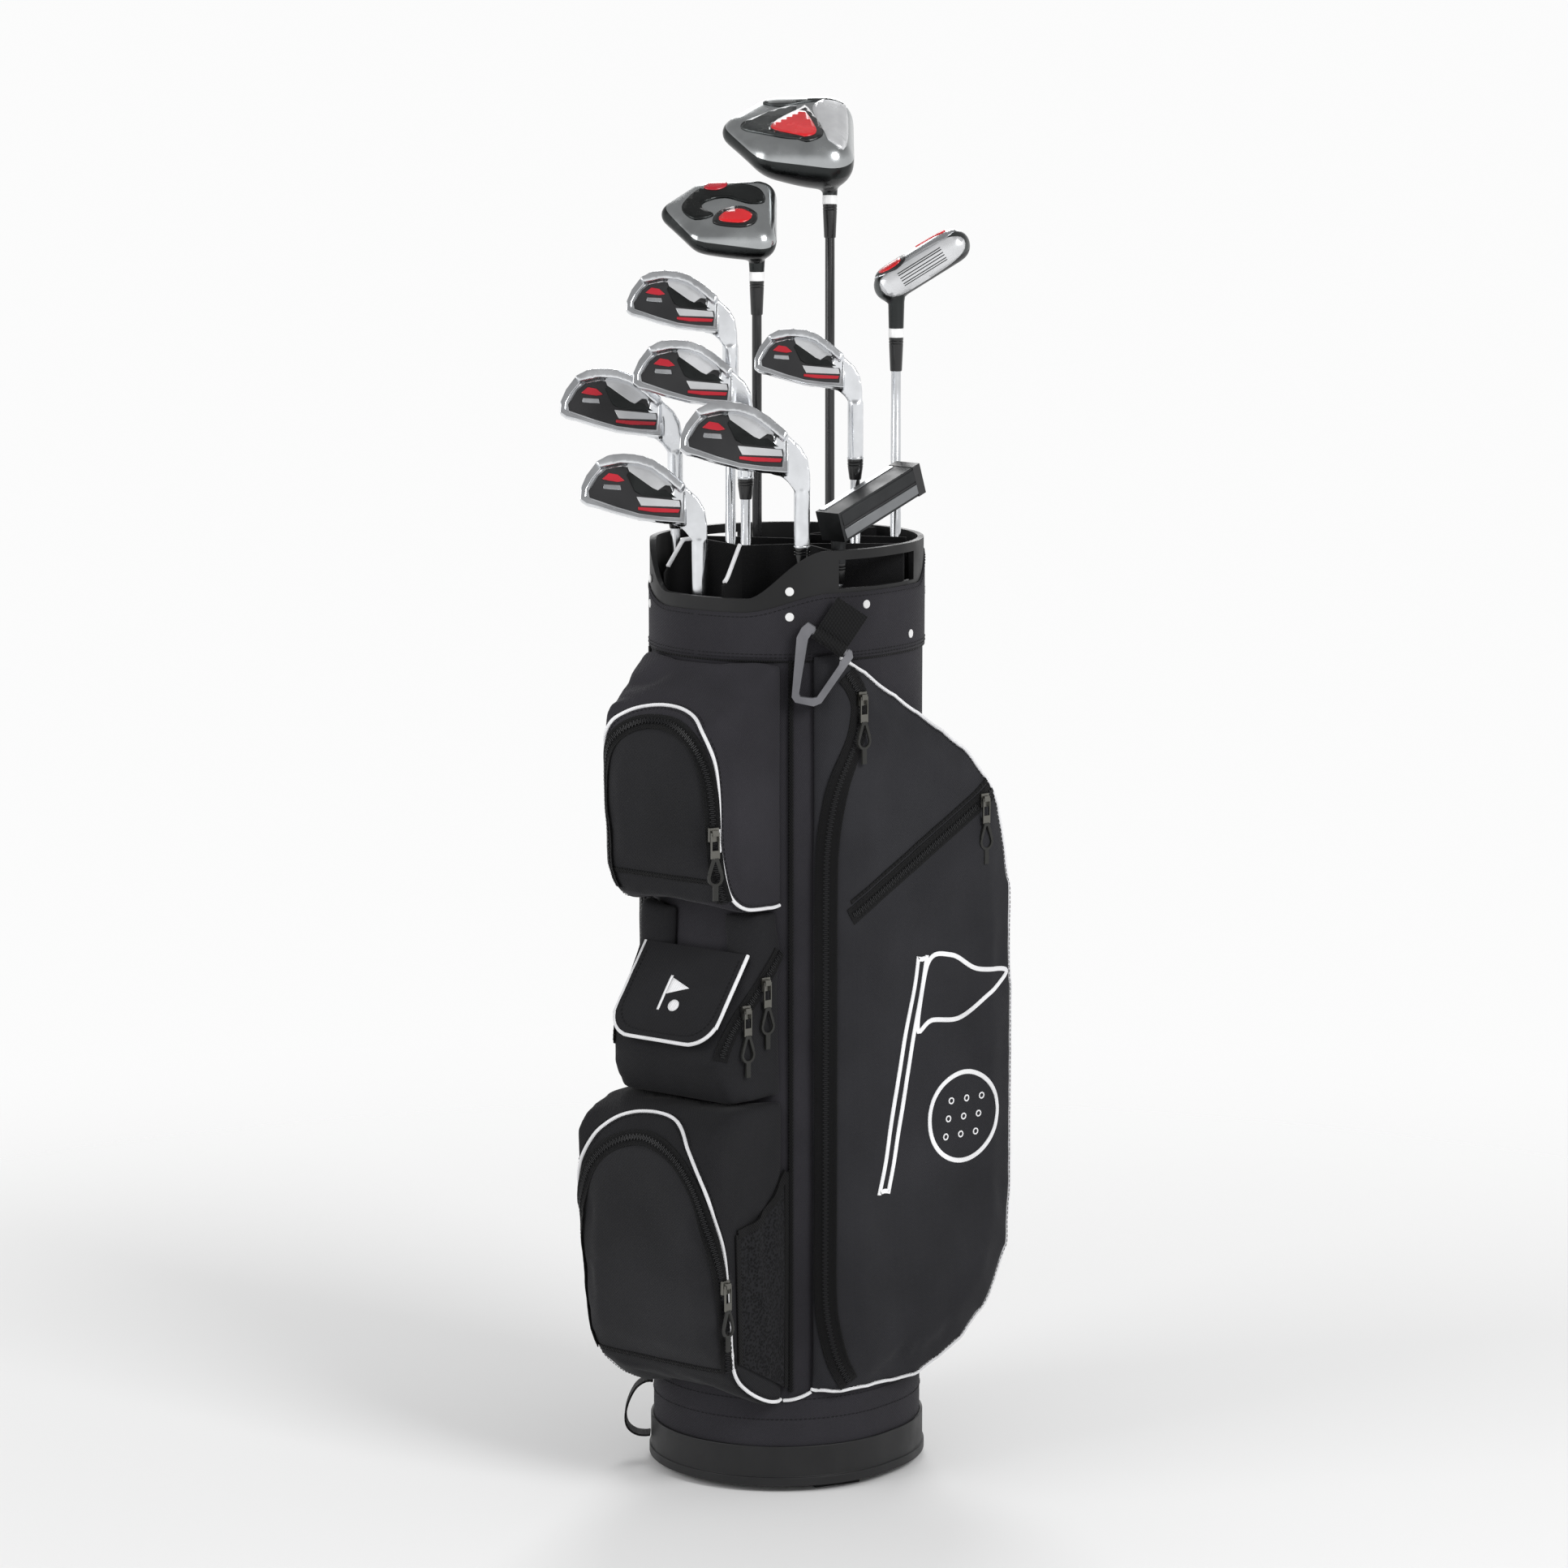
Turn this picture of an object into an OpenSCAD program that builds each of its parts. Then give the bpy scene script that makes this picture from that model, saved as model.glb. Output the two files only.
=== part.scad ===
// A cart golf bag with ten clubs standing heads-up in it.
// The origin is on the ground under the bag's axis, +Z is up, and the bag's front faces -Y.
// Clubs are placed in a club frame, which is the bag's frame turned about Z by fan_turn:
// its first axis runs across the fan of heads and its second runs to the back of the fan.

/* [Bag tube] */
// Outer radius of the round ends of the tube
tube_r = 115; // [110:0.5:120]
// Distance of each round end's centre from the axis, front and back
tube_offset = 8; // [6:0.5:10]
// Wall of the stiffened fabric tube
tube_wall = 2.8; // [2:0.2:3]
// Height of the top of the fabric tube
tube_top = 768; // [764:1:772]
// Height of the rim of the moulded collar
rim_top = 836; // [834:1:840]
// Height of the lowest point of the scooped front rim
scoop_low = 795; // [790:1:800]

/* [Base] */
// Height of the feet
foot_height = 6; // [4:0.5:8]
// Height of the top edge of the moulded base cup
cup_top = 42; // [36:1:46]
// Height of the floor that the grips stand on
floor_top = 70; // [60:1:74]

/* [Pockets] */
// Distance of the upper pocket's face in front of the axis
upper_pocket_reach = 186; // [180:1:190]
// Half of the width of the upper pocket's face
upper_pocket_half = 57; // [52:1:60]
// Distance of the lower pocket's face in front of the axis
lower_pocket_reach = 207; // [200:1:212]
// Half of the width of the lower pocket's face
lower_pocket_half = 72; // [68:1:76]
// Distance of the middle pocket's face in front of the axis
middle_pocket_reach = 176; // [170:1:180]
// Length of the side pockets' outer panel, front to back
side_panel_length = 205; // [195:1:208]

/* [Clubs] */
// Turn of the club frame about the bag's axis, in degrees
fan_turn = 38; // [36:1:40]
// Radius of a grip at its butt
grip_butt_r = 13; // [12:0.1:13.2]
// Length of a grip
grip_length = 265; // [250:1:275]
// Outer radius of an iron's hosel
hosel_r = 7; // [6.5:0.1:7.5]
// Lean of an iron's blade about its heel-to-toe line, in degrees
iron_loft = 20; // [14:1:24]

/* [Hardware] */
// Radius of the bar of the towel ring
ring_bar_r = 3.2; // [3:0.1:3.4]
// Clearance round a bar that turns in a loop
bar_play = 0.08; // [0.05:0.01:0.1]

/* [Hidden] */
$fn = 72;

gap = 0.3;
tube_inner = tube_r - tube_wall;
collar_inner = tube_inner - 1.6;
collar_outer = tube_r + 1;

// Places of the clubs' butts in the club frame: across, back, and lean to the back in degrees
driver_at = [38.6, 9, 6];
fairway_at = [-26.5, 30, 0];
hybrid_at = [96.5, 34, 0];
putter_at = [45, -74, 0];
six_at = [-49.5, -14, 0];
seven_at = [60, -16, 0];
eight_at = [-36, -38, 0];
nine_at = [-98.5, 11, 0];
pitching_at = [13, -95, 0];
sand_at = [-76, -69, 0];

// Height at which each iron's straight hosel ends and its neck begins to bend, and its size
six_neck = 1005;
seven_neck = 956;
eight_neck = 941;
nine_neck = 910;
pitching_neck = 887;
sand_neck = 841;
six_size = 0.86;
seven_size = 0.84;
eight_size = 0.93;
nine_size = 0.96;
pitching_size = 1;
sand_size = 0.98;

// Heights of the top of the white band on each wood's ferrule
driver_band = 1126;
fairway_band = 1059;
hybrid_band = 1009;
putter_neck = 843;

driver_head_low = 1138;
fairway_head_low = 1078;
hybrid_head_low = 1040;

iron_hosel_length = 50;
iron_ferrule_length = 18;
wood_ferrule_length = 30;
shaft_butt_r = 6.4;
shaft_tip_r = 4.3;
socket_depth = 24;

// Right-hand outer panel of the side pocket: its front edge, and its direction
panel_front = [115, -67];
panel_turn = 78;

// ---------- shared shapes ----------

// Outline of the bag's oval, two round ends joined by flats
module oval(r) {
    translate([0, -tube_offset]) circle(r);
    translate([0, tube_offset]) circle(r);
    square([2 * r, 2 * tube_offset], center = true);
}

module oval_ring(outer, inner, low, high) {
    translate([0, 0, low]) linear_extrude(high - low) difference() {
        oval(outer);
        oval(inner);
    }
}

// Moves its children to a club's place, leaning about the point where its butt meets the floor
module club_at(place) {
    pivot = floor_top + grip_butt_r * sin(place[2]);
    rotate([0, 0, fan_turn]) translate([place[0], place[1], pivot]) rotate([-place[2], 0, 0])
        translate([0, 0, -floor_top]) children();
}

// Extrudes a profile drawn in front-back and height coordinates along X
module along_x(half_width) {
    rotate([90, 0, 90]) linear_extrude(2 * half_width, center = true) children();
}

// ---------- bag body ----------

module base_cup() {
    color("#1c1c1e") difference() {
        union() {
            translate([0, 0, foot_height]) linear_extrude(cup_top - foot_height) oval(tube_r + 3);
            translate([0, 0, foot_height]) linear_extrude(8) oval(tube_r + 4.5);
        }
        translate([0, 0, foot_height + 7]) linear_extrude(cup_top) oval(tube_r + gap);
    }
}

foot_bearings = [-14, 62, 118, 180, 242, 298];

// Six feet round the edge, and a round one in the middle that takes the weight of the clubs
module base_feet() {
    color("#111112") {
        for (bearing = foot_bearings)
            rotate([0, 0, bearing]) translate([0, -103, 0]) linear_extrude(foot_height)
                square([44, 16], center = true);
        cylinder(r = 24, h = foot_height);
    }
}

module floor_pad() {
    color("#3a3a3c") translate([0, 0, foot_height + 7.2]) linear_extrude(floor_top - foot_height - 7.2)
        oval(tube_inner - gap);
}

module body_tube() {
    color("#232326") difference() {
        oval_ring(tube_r, tube_inner, foot_height + 7.2, tube_top);
        rivet_holes();
    }
}

window_low = 803;
window_high = 828;

// Right half of the scooped front edge: flat in the middle, then a smooth rise to the rim
scoop_start = 44;
scoop_end = 100;
scoop_steps = 12;
scoop_edge = [
    for (i = [0 : scoop_steps]) let (t = i / scoop_steps)
        [scoop_start + (scoop_end - scoop_start) * t,
         scoop_low + (rim_top + 1 - scoop_low) * t * t * (3 - 2 * t)]
];

module top_collar() {
    color("#19191b") difference() {
        union() {
            oval_ring(tube_inner - 0.1, collar_inner, tube_top - 34, tube_top + 1);
            oval_ring(collar_outer, collar_inner, tube_top + 0.1, rim_top);
        }
        translate([0, -60, 0]) rotate([90, 0, 0]) linear_extrude(80) polygon(concat(
            scoop_edge, [[scoop_end, rim_top + 20], [-scoop_end, rim_top + 20]],
            [for (i = [len(scoop_edge) - 1 : -1 : 0]) [-scoop_edge[i][0], scoop_edge[i][1]]]
        ));
        translate([0, -60, window_low]) cube([tube_r + 10, 96, window_high - window_low]);
        translate([-tube_r - 10, -15, window_low]) cube([tube_r + 10, 75, window_high - window_low]);
        rivet_holes();
    }
}

// Plan of the dividers in the club frame, each a wall between two points
divider_walls = [
    [[-106, -46], [-77, -4]],
    [[-77, -4], [-40, -62]],
    [[-55, -99], [-40, -62]],
    [[-40, -62], [15, -46]],
    [[15, -46], [38, -98]],
    [[15, -46], [103, -46]],
    [[15, -46], [15, 99]],
    [[15, 26], [104, 4]],
    [[15, 26], [78, 84]],
    [[-77, -4], [-86, 64]],
    [[-78, 15], [15, -7]]
];
divider_wall = 2.4;
divider_depth = 52;

module club_dividers() {
    color("#0f0f10") intersection() {
        rotate([0, 0, fan_turn]) translate([0, 0, rim_top - divider_depth - 20]) linear_extrude(90)
            for (wall = divider_walls) {
                run = wall[1] - wall[0];
                translate(wall[0]) rotate([0, 0, atan2(run[1], run[0])])
                    translate([-divider_wall / 2, -divider_wall / 2])
                        square([norm(run) + divider_wall, divider_wall]);
            }
        linear_extrude(rim_top + 40) oval(collar_inner - gap);
        along_x(120) polygon([
            [-125, scoop_low - 30], [-125, scoop_low + 4], [-103, scoop_low + 14], [-76, rim_top - 1],
            [125, rim_top - 1], [125, rim_top - divider_depth], [-60, rim_top - divider_depth]
        ]);
    }
}

// Bearing from the front and height of each rivet and screw on the right; the left is a mirror
rivet_places = [[41.5, 802], [77, 788], [128, 788], [41.5, 780], [100, 756]];

module rivet_holes() {
    for (side = [0, 1]) mirror([side, 0, 0])
        for (place = rivet_places) at_bearing(place[0], place[1]) cylinder(r = 2.1, h = 30, center = true);
}

// A child's +Z points straight out of the oval at the bearing and height
module at_bearing(bearing, height) {
    shift = bearing < 90 ? -tube_offset : tube_offset;
    translate([0, shift, height]) rotate([0, 0, bearing - 90]) translate([tube_r, 0, 0])
        rotate([0, 90, 0]) children();
}

module collar_rivets() {
    color("#c8c8c8") for (side = [0, 1]) mirror([side, 0, 0])
        for (place = rivet_places) at_bearing(place[0], place[1]) {
            translate([0, 0, -3.6]) cylinder(r = 2, h = 5);
            translate([0, 0, 1.2]) cylinder(r = 3.8, h = 1.6);
        }
}

// ---------- pockets ----------

// Plan of a front pocket: its face, its rounded front corners and its side panels to the seams
module front_pocket_plan(reach, half) {
    polygon([
        [-half, -reach], [half, -reach], [half + 5, -reach + 12],
        [75.5, -95], [60, -80], [-60, -80], [-75.5, -95], [-half - 5, -reach + 12]
    ]);
}

module front_pocket(reach, half, low, high) {
    difference() {
        intersection() {
            translate([0, 0, low]) linear_extrude(high - low) front_pocket_plan(reach, half);
            along_x(110) children();
        }
        translate([0, 0, low - 1]) linear_extrude(high - low + 2) oval(tube_r + gap);
    }
}

module upper_pocket() {
    color("#2e2d31") front_pocket(upper_pocket_reach, upper_pocket_half, 522, 742) polygon([
        [-80, 742], [-126, 742], [-138, 718], [-166, 704], [-182, 690], [-186, 668],
        [-183, 620], [-174, 556], [-160, 532], [-138, 524], [-80, 524]
    ]);
}

module middle_pocket() {
    color("#29292c") front_pocket(middle_pocket_reach, upper_pocket_half, 357, 524) polygon([
        [-80, 523.5], [-125.5, 523.5], [-125.5, 480], [-168, 424], [-176, 400], [-160, 362],
        [-156, 357], [-80, 357]
    ]);
}

module lower_pocket() {
    color("#252528") front_pocket(lower_pocket_reach, lower_pocket_half, 80, 356.5) polygon([
        [-80, 356.5], [-156, 356.5], [-190, 346], [-204, 330], [-207, 306], [-203, 240],
        [-190, 150], [-178, 122], [-150, 98], [-118, 82], [-80, 82]
    ]);
}

module mesh_pocket() {
    color("#202022") intersection() {
        translate([0, 0, 90]) linear_extrude(210) polygon([
            [lower_pocket_half + 5.5, -170], [lower_pocket_half + 13, -162], [lower_pocket_half + 14, -112],
            [lower_pocket_half + 6, -99], [lower_pocket_half + 4.2, -99]
        ]);
        along_x(120) polygon([[-172, 100], [-98, 90], [-98, 293], [-172, 248]]);
    }
}

// Outline of the side pocket's outer panel: distance back from its front edge, and height
module side_panel_outline(front_high) {
    offset(r = 36) offset(delta = -36) polygon([
        [-60, front_high + 14], [0, front_high], [95, front_high - 62], [150, front_high - 100],
        [182, front_high - 140], [196, 560], [203, 420], [204, 250], [196, 180], [176, 144],
        [136, 108], [88, 88], [40, 84], [-60, 88]
    ]);
}

module side_pocket_plan() {
    corner = panel_front + side_panel_length * [cos(panel_turn), sin(panel_turn)];
    polygon([
        [79.5, -92.5], panel_front + [-3, -3.5], panel_front + [0.5, 4],
        corner + [-0.5, -6], corner + [-6, 0], [84, 96], [60, 60]
    ]);
}

module side_pocket(front_high) {
    difference() {
        intersection() {
            linear_extrude(800) side_pocket_plan();
            translate([panel_front[0], panel_front[1], 0]) rotate([0, 0, panel_turn])
                translate([0, 80, 0]) rotate([90, 0, 0]) linear_extrude(160) side_panel_outline(front_high);
        }
        linear_extrude(800) oval(tube_r + gap);
    }
}

module right_side_pocket() {
    color("#27272a") side_pocket(750);
}

module left_side_pocket() {
    color("#27272a") mirror([1, 0, 0]) side_pocket(690);
}

// Flap of the middle pocket, hinged along its top edge and lying on the pocket's slope
flap_hinge = [-127.5, 486];
flap_slope = 52;
flap_length = 92;
flap_half = 57;
flap_thick = 2.4;

module pocket_flap() {
    color("#2a2a2d") translate([0, flap_hinge[0], flap_hinge[1]]) rotate([flap_slope, 0, 0])
        translate([0, 0, -flap_thick / 2]) linear_extrude(flap_thick) {
            translate([-flap_half, -flap_length + 26]) square([2 * flap_half, flap_length - 26]);
            for (side = [-1, 1]) translate([side * (flap_half - 26), -flap_length + 26]) circle(26);
            translate([-flap_half + 26, -flap_length]) square([2 * flap_half - 52, 27]);
        }
}

// ---------- hardware ----------

// Frame of the towel ring: its face turns toward ring_bearing and its top bar slopes down
ring_bearing = 34;
ring_distance = 129.5;
ring_across = 30;
ring_slope = 33.2;
ring_height = 770;
ring_bar_length = 40;

// X runs along the top bar, Y into the bag and Z up from the bar
module ring_frame() {
    rotate([0, 0, ring_bearing]) translate([ring_across, -ring_distance, ring_height])
        rotate([0, ring_slope, 0]) children();
}

module ring_outline() {
    polygon([[-6, 4], [39, 4], [43, 0], [42, -48], [38, -54], [23, -60], [18, -58], [-7, -12], [-8, -3]]);
}

module ring_hole() {
    polygon([[2, -8], [35, -8], [36.5, -12], [36, -46], [33, -49], [24, -53.5], [21.5, -52]]);
}

module towel_ring() {
    color("#707074") ring_frame() {
        difference() {
            rotate([90, 0, 0]) linear_extrude(6, center = true) difference() {
                ring_outline();
                ring_hole();
            }
            translate([2, -10, -8]) cube([ring_bar_length - 6, 20, 16]);
        }
        rotate([0, 90, 0]) translate([0, 0, 1]) cylinder(r = ring_bar_r, h = ring_bar_length - 4);
    }
}

strap_end_r = 5.6;

module ring_strap() {
    color("#141416") ring_frame() translate([3.5, 0, 0]) rotate([90, 0, 90])
        linear_extrude(ring_bar_length - 9) difference() {
            union() {
                circle(strap_end_r);
                translate([1.6, 0]) rotate(-12) square([3, 36]);
            }
            circle(ring_bar_r + bar_play);
        }
}

loop_bearing = -52;

module base_loop() {
    color("#141416") rotate([0, 0, loop_bearing]) translate([0, -tube_r - tube_offset - 3, 49.5])
        rotate([90, 0, 90]) linear_extrude(20, center = true) difference() {
            polygon([[4, 22], [-10, 18], [-21, 2], [-24, -14], [-18, -26], [-6, -30], [-3, -27]]);
            polygon([[6, 18], [-8, 14.5], [-18, 1], [-21, -13], [-16, -23], [-6, -26.5], [6, -4]]);
        }
}

slider_width = 9;
slider_length = 12;
slider_thick = 3.2;

// A slider's +Z points out of the cloth and its Y runs along the zip; its eye is at its lower end
module slider_body() {
    color("#6a6a66") difference() {
        union() {
            translate([-slider_width / 2, -slider_length / 2, 0])
                cube([slider_width, slider_length, slider_thick]);
            translate([-3, -1, slider_thick - 0.1]) cube([6, 5, 2.9]);
        }
        translate([-5, 1.5, slider_thick + 1.5]) rotate([0, 90, 0]) cylinder(r = 0.9, h = 10);
    }
}

pull_length = 58;

// The pull: a pin through the slider's eye, a tab, and a moulded cord loop with a bead
module pull_body() {
    color("#77776f") translate([0, 1.5, slider_thick + 1.5]) {
        translate([-4.2, 0, 0]) rotate([0, 90, 0]) cylinder(r = 0.85, h = 8.4);
        for (side = [-1, 1]) translate([side * 3.7 - 0.5, -16, -0.8]) cube([1, 16, 1.6]);
        translate([-4.2, -22, -0.8]) cube([8.4, 7, 1.6]);
    }
    color("#3a3a36") translate([0, -19, slider_thick + 0.7]) difference() {
        linear_extrude(2) {
            translate([0, -18]) circle(7.5);
            polygon([[-2.6, -1], [2.6, -1], [7, -14], [-7, -14]]);
            translate([-2.4, -pull_length + 20]) square([4.8, 16]);
        }
        translate([0, 0, -1]) linear_extrude(4) {
            translate([0, -18]) circle(5.3);
            polygon([[-0.8, -4], [0.8, -4], [4.6, -15], [-4.6, -15]]);
        }
    }
}

// Places of the zip sliders: point on the cloth, turn about Z of the way out, lean of the zip
module zip_at(point, out_bearing, lean) {
    translate(point) rotate([0, 0, out_bearing]) rotate([90, 0, 0]) rotate([0, 0, lean]) children();
}

module at_upper_zip() {
    zip_at([60.2, -180.3, 600], 67.4, 0) children();
}

module at_lower_zip() {
    zip_at([77.6, -188, 206], 90, 0) children();
}

module at_middle_zip_top() {
    zip_at([70.8, -123, 462], 79, 0) children();
}

module at_middle_zip_low() {
    zip_at([66.5, -145, 440], 79, 0) children();
}

module at_side_zip() {
    zip_at([119.6, -49.8, 708], 78, 0) children();
}

module at_welt_zip() {
    zip_at([149.6, 90.2, 604], 78, 0) children();
}

module upper_zip_slider() {
    at_upper_zip() slider_body();
}

module upper_zip_pull() {
    at_upper_zip() pull_body();
}

module lower_zip_slider() {
    at_lower_zip() slider_body();
}

module lower_zip_pull() {
    at_lower_zip() pull_body();
}

module middle_zip_slider_top() {
    at_middle_zip_top() slider_body();
}

module middle_zip_pull_top() {
    at_middle_zip_top() pull_body();
}

module middle_zip_slider_low() {
    at_middle_zip_low() slider_body();
}

module middle_zip_pull_low() {
    at_middle_zip_low() pull_body();
}

module side_zip_slider() {
    at_side_zip() slider_body();
}

module side_zip_pull() {
    at_side_zip() pull_body();
}

module welt_zip_slider() {
    at_welt_zip() slider_body();
}

module welt_zip_pull() {
    at_welt_zip() pull_body();
}

// ---------- clubs ----------

module grip(place) {
    color("#1a1a1a") club_at(place) translate([0, 0, floor_top]) difference() {
        union() {
            cylinder(r = grip_butt_r, h = 6);
            translate([0, 0, 6]) cylinder(r1 = grip_butt_r, r2 = 8.6, h = grip_length - 6);
        }
        translate([0, 0, 5]) cylinder(r = shaft_butt_r, h = grip_length);
    }
}

// A shaft from inside its grip to its tip, with the ferrule ring that meets the hosel at top
module shaft(place, top, ferrule, ferrule_r) {
    club_at(place) {
        color("#c4c4c6") {
            translate([0, 0, floor_top + 5]) cylinder(r = shaft_butt_r, h = grip_length + 20);
            translate([0, 0, floor_top + grip_length + 25])
                cylinder(r1 = shaft_butt_r, r2 = shaft_tip_r, h = top - floor_top - grip_length - 25);
            translate([0, 0, top]) cylinder(r = shaft_tip_r, h = socket_depth);
        }
        color("#141414") translate([0, 0, top - ferrule]) difference() {
            cylinder(r1 = shaft_tip_r + 1, r2 = ferrule_r, h = ferrule);
            translate([0, 0, -1]) cylinder(r = shaft_tip_r + 0.4, h = ferrule + 0.9);
        }
    }
}

// The hosel and its children, with the shaft's socket bored up through them
module socketed(low, high, radius) {
    difference() {
        union() {
            translate([0, 0, low]) cylinder(r = radius, h = high - low);
            children();
        }
        translate([0, 0, low - 1]) cylinder(r = shaft_tip_r, h = socket_depth + 1);
    }
}

// Outline of an iron's blade, toward the toe and up from the bend of its neck
module blade_outline() {
    polygon([
        [12, 47], [28, 61], [41, 69.5], [52, 73.5], [67, 75], [80, 73.5], [92, 67], [100, 56], [105, 44],
        [105.5, 34], [100, 30], [90, 27.5], [75, 22.6], [53, 16.7], [33, 14.2], [12, 12.5]
    ]);
}

// Outline of the thick sole along the blade's upper edge
module sole_outline() {
    polygon([
        [12, 47], [28, 61], [41, 69.5], [52, 73.5], [67, 75], [80, 73.5], [92, 67], [88, 62], [70, 66],
        [54, 65], [42, 61], [30, 52], [16, 40]
    ]);
}

module neck_outline() {
    polygon([
        [-7, 0], [-7, 13], [-4.7, 27], [1, 37], [12, 47], [22, 55], [26, 13.6], [18, 12], [12, 7], [7, 0]
    ]);
}

// An iron head hung by its hosel: the toe points to -X and the face to +Y
module iron_head(place, neck, size) {
    color("#cfcfd2") club_at(place) socketed(neck - iron_hosel_length, neck + 0.1, hosel_r) {
        translate([0, 0, neck]) rotate([90, 0, 180]) scale(size) {
            linear_extrude(12, center = true) neck_outline();
            translate([0, 42, 0]) rotate([iron_loft, 0, 0]) translate([0, -42, -3]) {
                linear_extrude(7) blade_outline();
                translate([0, 0, -9]) linear_extrude(12) sole_outline();
            }
        }
    }
}

wood_lie = 32;

// A rounded wood head lying in its own frame: X to the face, Y to the toe, Z to the sole
module wood_body(back, front, heel, toe, deep) {
    round_r = deep / 2;
    hull() {
        translate([front - round_r, heel + round_r, round_r]) sphere(round_r, $fn = 32);
        translate([front - round_r, toe - round_r, round_r]) sphere(round_r, $fn = 32);
        translate([back + round_r * 0.9, (heel + toe) / 2 + 2, round_r]) sphere(round_r * 0.9, $fn = 32);
        translate([(back + front) / 2 - 12, heel + round_r + 2, round_r]) sphere(round_r, $fn = 32);
        translate([(back + front) / 2 - 12, toe - round_r - 4, round_r]) sphere(round_r, $fn = 32);
    }
}

module driver_head() {
    color("#8a8f90") club_at(driver_at) socketed(driver_band, driver_head_low + 22, 6.5) {
        translate([0, 0, driver_head_low]) rotate([wood_lie, 0, 0]) wood_body(-97, 22, -17, 103, 50);
    }
}

module fairway_wood_head() {
    color("#8a8f90") club_at(fairway_at) socketed(fairway_band, fairway_head_low + 18, 6.5) {
        translate([0, 0, fairway_head_low]) rotate([wood_lie, 0, 0]) wood_body(-85, 18, -14, 84, 33);
    }
}

module hybrid_head() {
    color("#b4b6b6") club_at(hybrid_at) socketed(hybrid_band, hybrid_head_low + 16, 6.5) {
        translate([0, 0, hybrid_head_low]) rotate([0, 0, -90]) rotate([wood_lie, 0, 0])
            wood_body(-46, 13, -12, 84, 30);
    }
}

putter_turn = 47;
putter_rise = 19;
putter_length = 110;
putter_section = 27;

module putter_head() {
    color("#3e3f41") club_at(putter_at) socketed(putter_neck - 22, putter_neck + 10, 6.5) {
        translate([0, 0, putter_neck]) rotate([0, 0, putter_turn]) rotate([0, -putter_rise, 0])
            translate([-7, -putter_section / 2, 0]) cube([putter_length, putter_section, putter_section]);
    }
}

module driver_shaft() {
    shaft(driver_at, driver_band, wood_ferrule_length, 6.4);
}

module fairway_wood_shaft() {
    shaft(fairway_at, fairway_band, wood_ferrule_length, 6.4);
}

module hybrid_shaft() {
    shaft(hybrid_at, hybrid_band, wood_ferrule_length, 6.4);
}

module putter_shaft() {
    shaft(putter_at, putter_neck - 22, iron_ferrule_length, 6.4);
}

module six_iron_head() {
    iron_head(six_at, six_neck, six_size);
}

module six_iron_shaft() {
    shaft(six_at, six_neck - iron_hosel_length, iron_ferrule_length, hosel_r - 0.1);
}

module seven_iron_head() {
    iron_head(seven_at, seven_neck, seven_size);
}

module seven_iron_shaft() {
    shaft(seven_at, seven_neck - iron_hosel_length, iron_ferrule_length, hosel_r - 0.1);
}

module eight_iron_head() {
    iron_head(eight_at, eight_neck, eight_size);
}

module eight_iron_shaft() {
    shaft(eight_at, eight_neck - iron_hosel_length, iron_ferrule_length, hosel_r - 0.1);
}

module nine_iron_head() {
    iron_head(nine_at, nine_neck, nine_size);
}

module nine_iron_shaft() {
    shaft(nine_at, nine_neck - iron_hosel_length, iron_ferrule_length, hosel_r - 0.1);
}

module pitching_wedge_head() {
    iron_head(pitching_at, pitching_neck, pitching_size);
}

module pitching_wedge_shaft() {
    shaft(pitching_at, pitching_neck - iron_hosel_length, iron_ferrule_length, hosel_r - 0.1);
}

module sand_wedge_head() {
    iron_head(sand_at, sand_neck, sand_size);
}

module sand_wedge_shaft() {
    shaft(sand_at, sand_neck - iron_hosel_length, iron_ferrule_length, hosel_r - 0.1);
}

module driver_grip() {
    grip(driver_at);
}

module fairway_wood_grip() {
    grip(fairway_at);
}

module hybrid_grip() {
    grip(hybrid_at);
}

module putter_grip() {
    grip(putter_at);
}

module six_iron_grip() {
    grip(six_at);
}

module seven_iron_grip() {
    grip(seven_at);
}

module eight_iron_grip() {
    grip(eight_at);
}

module nine_iron_grip() {
    grip(nine_at);
}

module pitching_wedge_grip() {
    grip(pitching_at);
}

module sand_wedge_grip() {
    grip(sand_at);
}

base_cup();
base_feet();
floor_pad();
body_tube();
top_collar();
club_dividers();
collar_rivets();
upper_pocket();
middle_pocket();
lower_pocket();
mesh_pocket();
right_side_pocket();
left_side_pocket();
pocket_flap();
ring_strap();
towel_ring();
base_loop();
upper_zip_slider();
upper_zip_pull();
lower_zip_slider();
lower_zip_pull();
middle_zip_slider_top();
middle_zip_pull_top();
middle_zip_slider_low();
middle_zip_pull_low();
side_zip_slider();
side_zip_pull();
welt_zip_slider();
welt_zip_pull();
driver_head();
driver_shaft();
driver_grip();
fairway_wood_head();
fairway_wood_shaft();
fairway_wood_grip();
hybrid_head();
hybrid_shaft();
hybrid_grip();
putter_head();
putter_shaft();
putter_grip();
six_iron_head();
six_iron_shaft();
six_iron_grip();
seven_iron_head();
seven_iron_shaft();
seven_iron_grip();
eight_iron_head();
eight_iron_shaft();
eight_iron_grip();
nine_iron_head();
nine_iron_shaft();
nine_iron_grip();
pitching_wedge_head();
pitching_wedge_shaft();
pitching_wedge_grip();
sand_wedge_head();
sand_wedge_shaft();
sand_wedge_grip();
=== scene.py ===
"""The looks of a cart golf bag with ten clubs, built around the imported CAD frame."""
import bmesh
import bpy
import math
from mathutils import Matrix, Vector, noise
from mathutils.bvhtree import BVHTree


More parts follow.
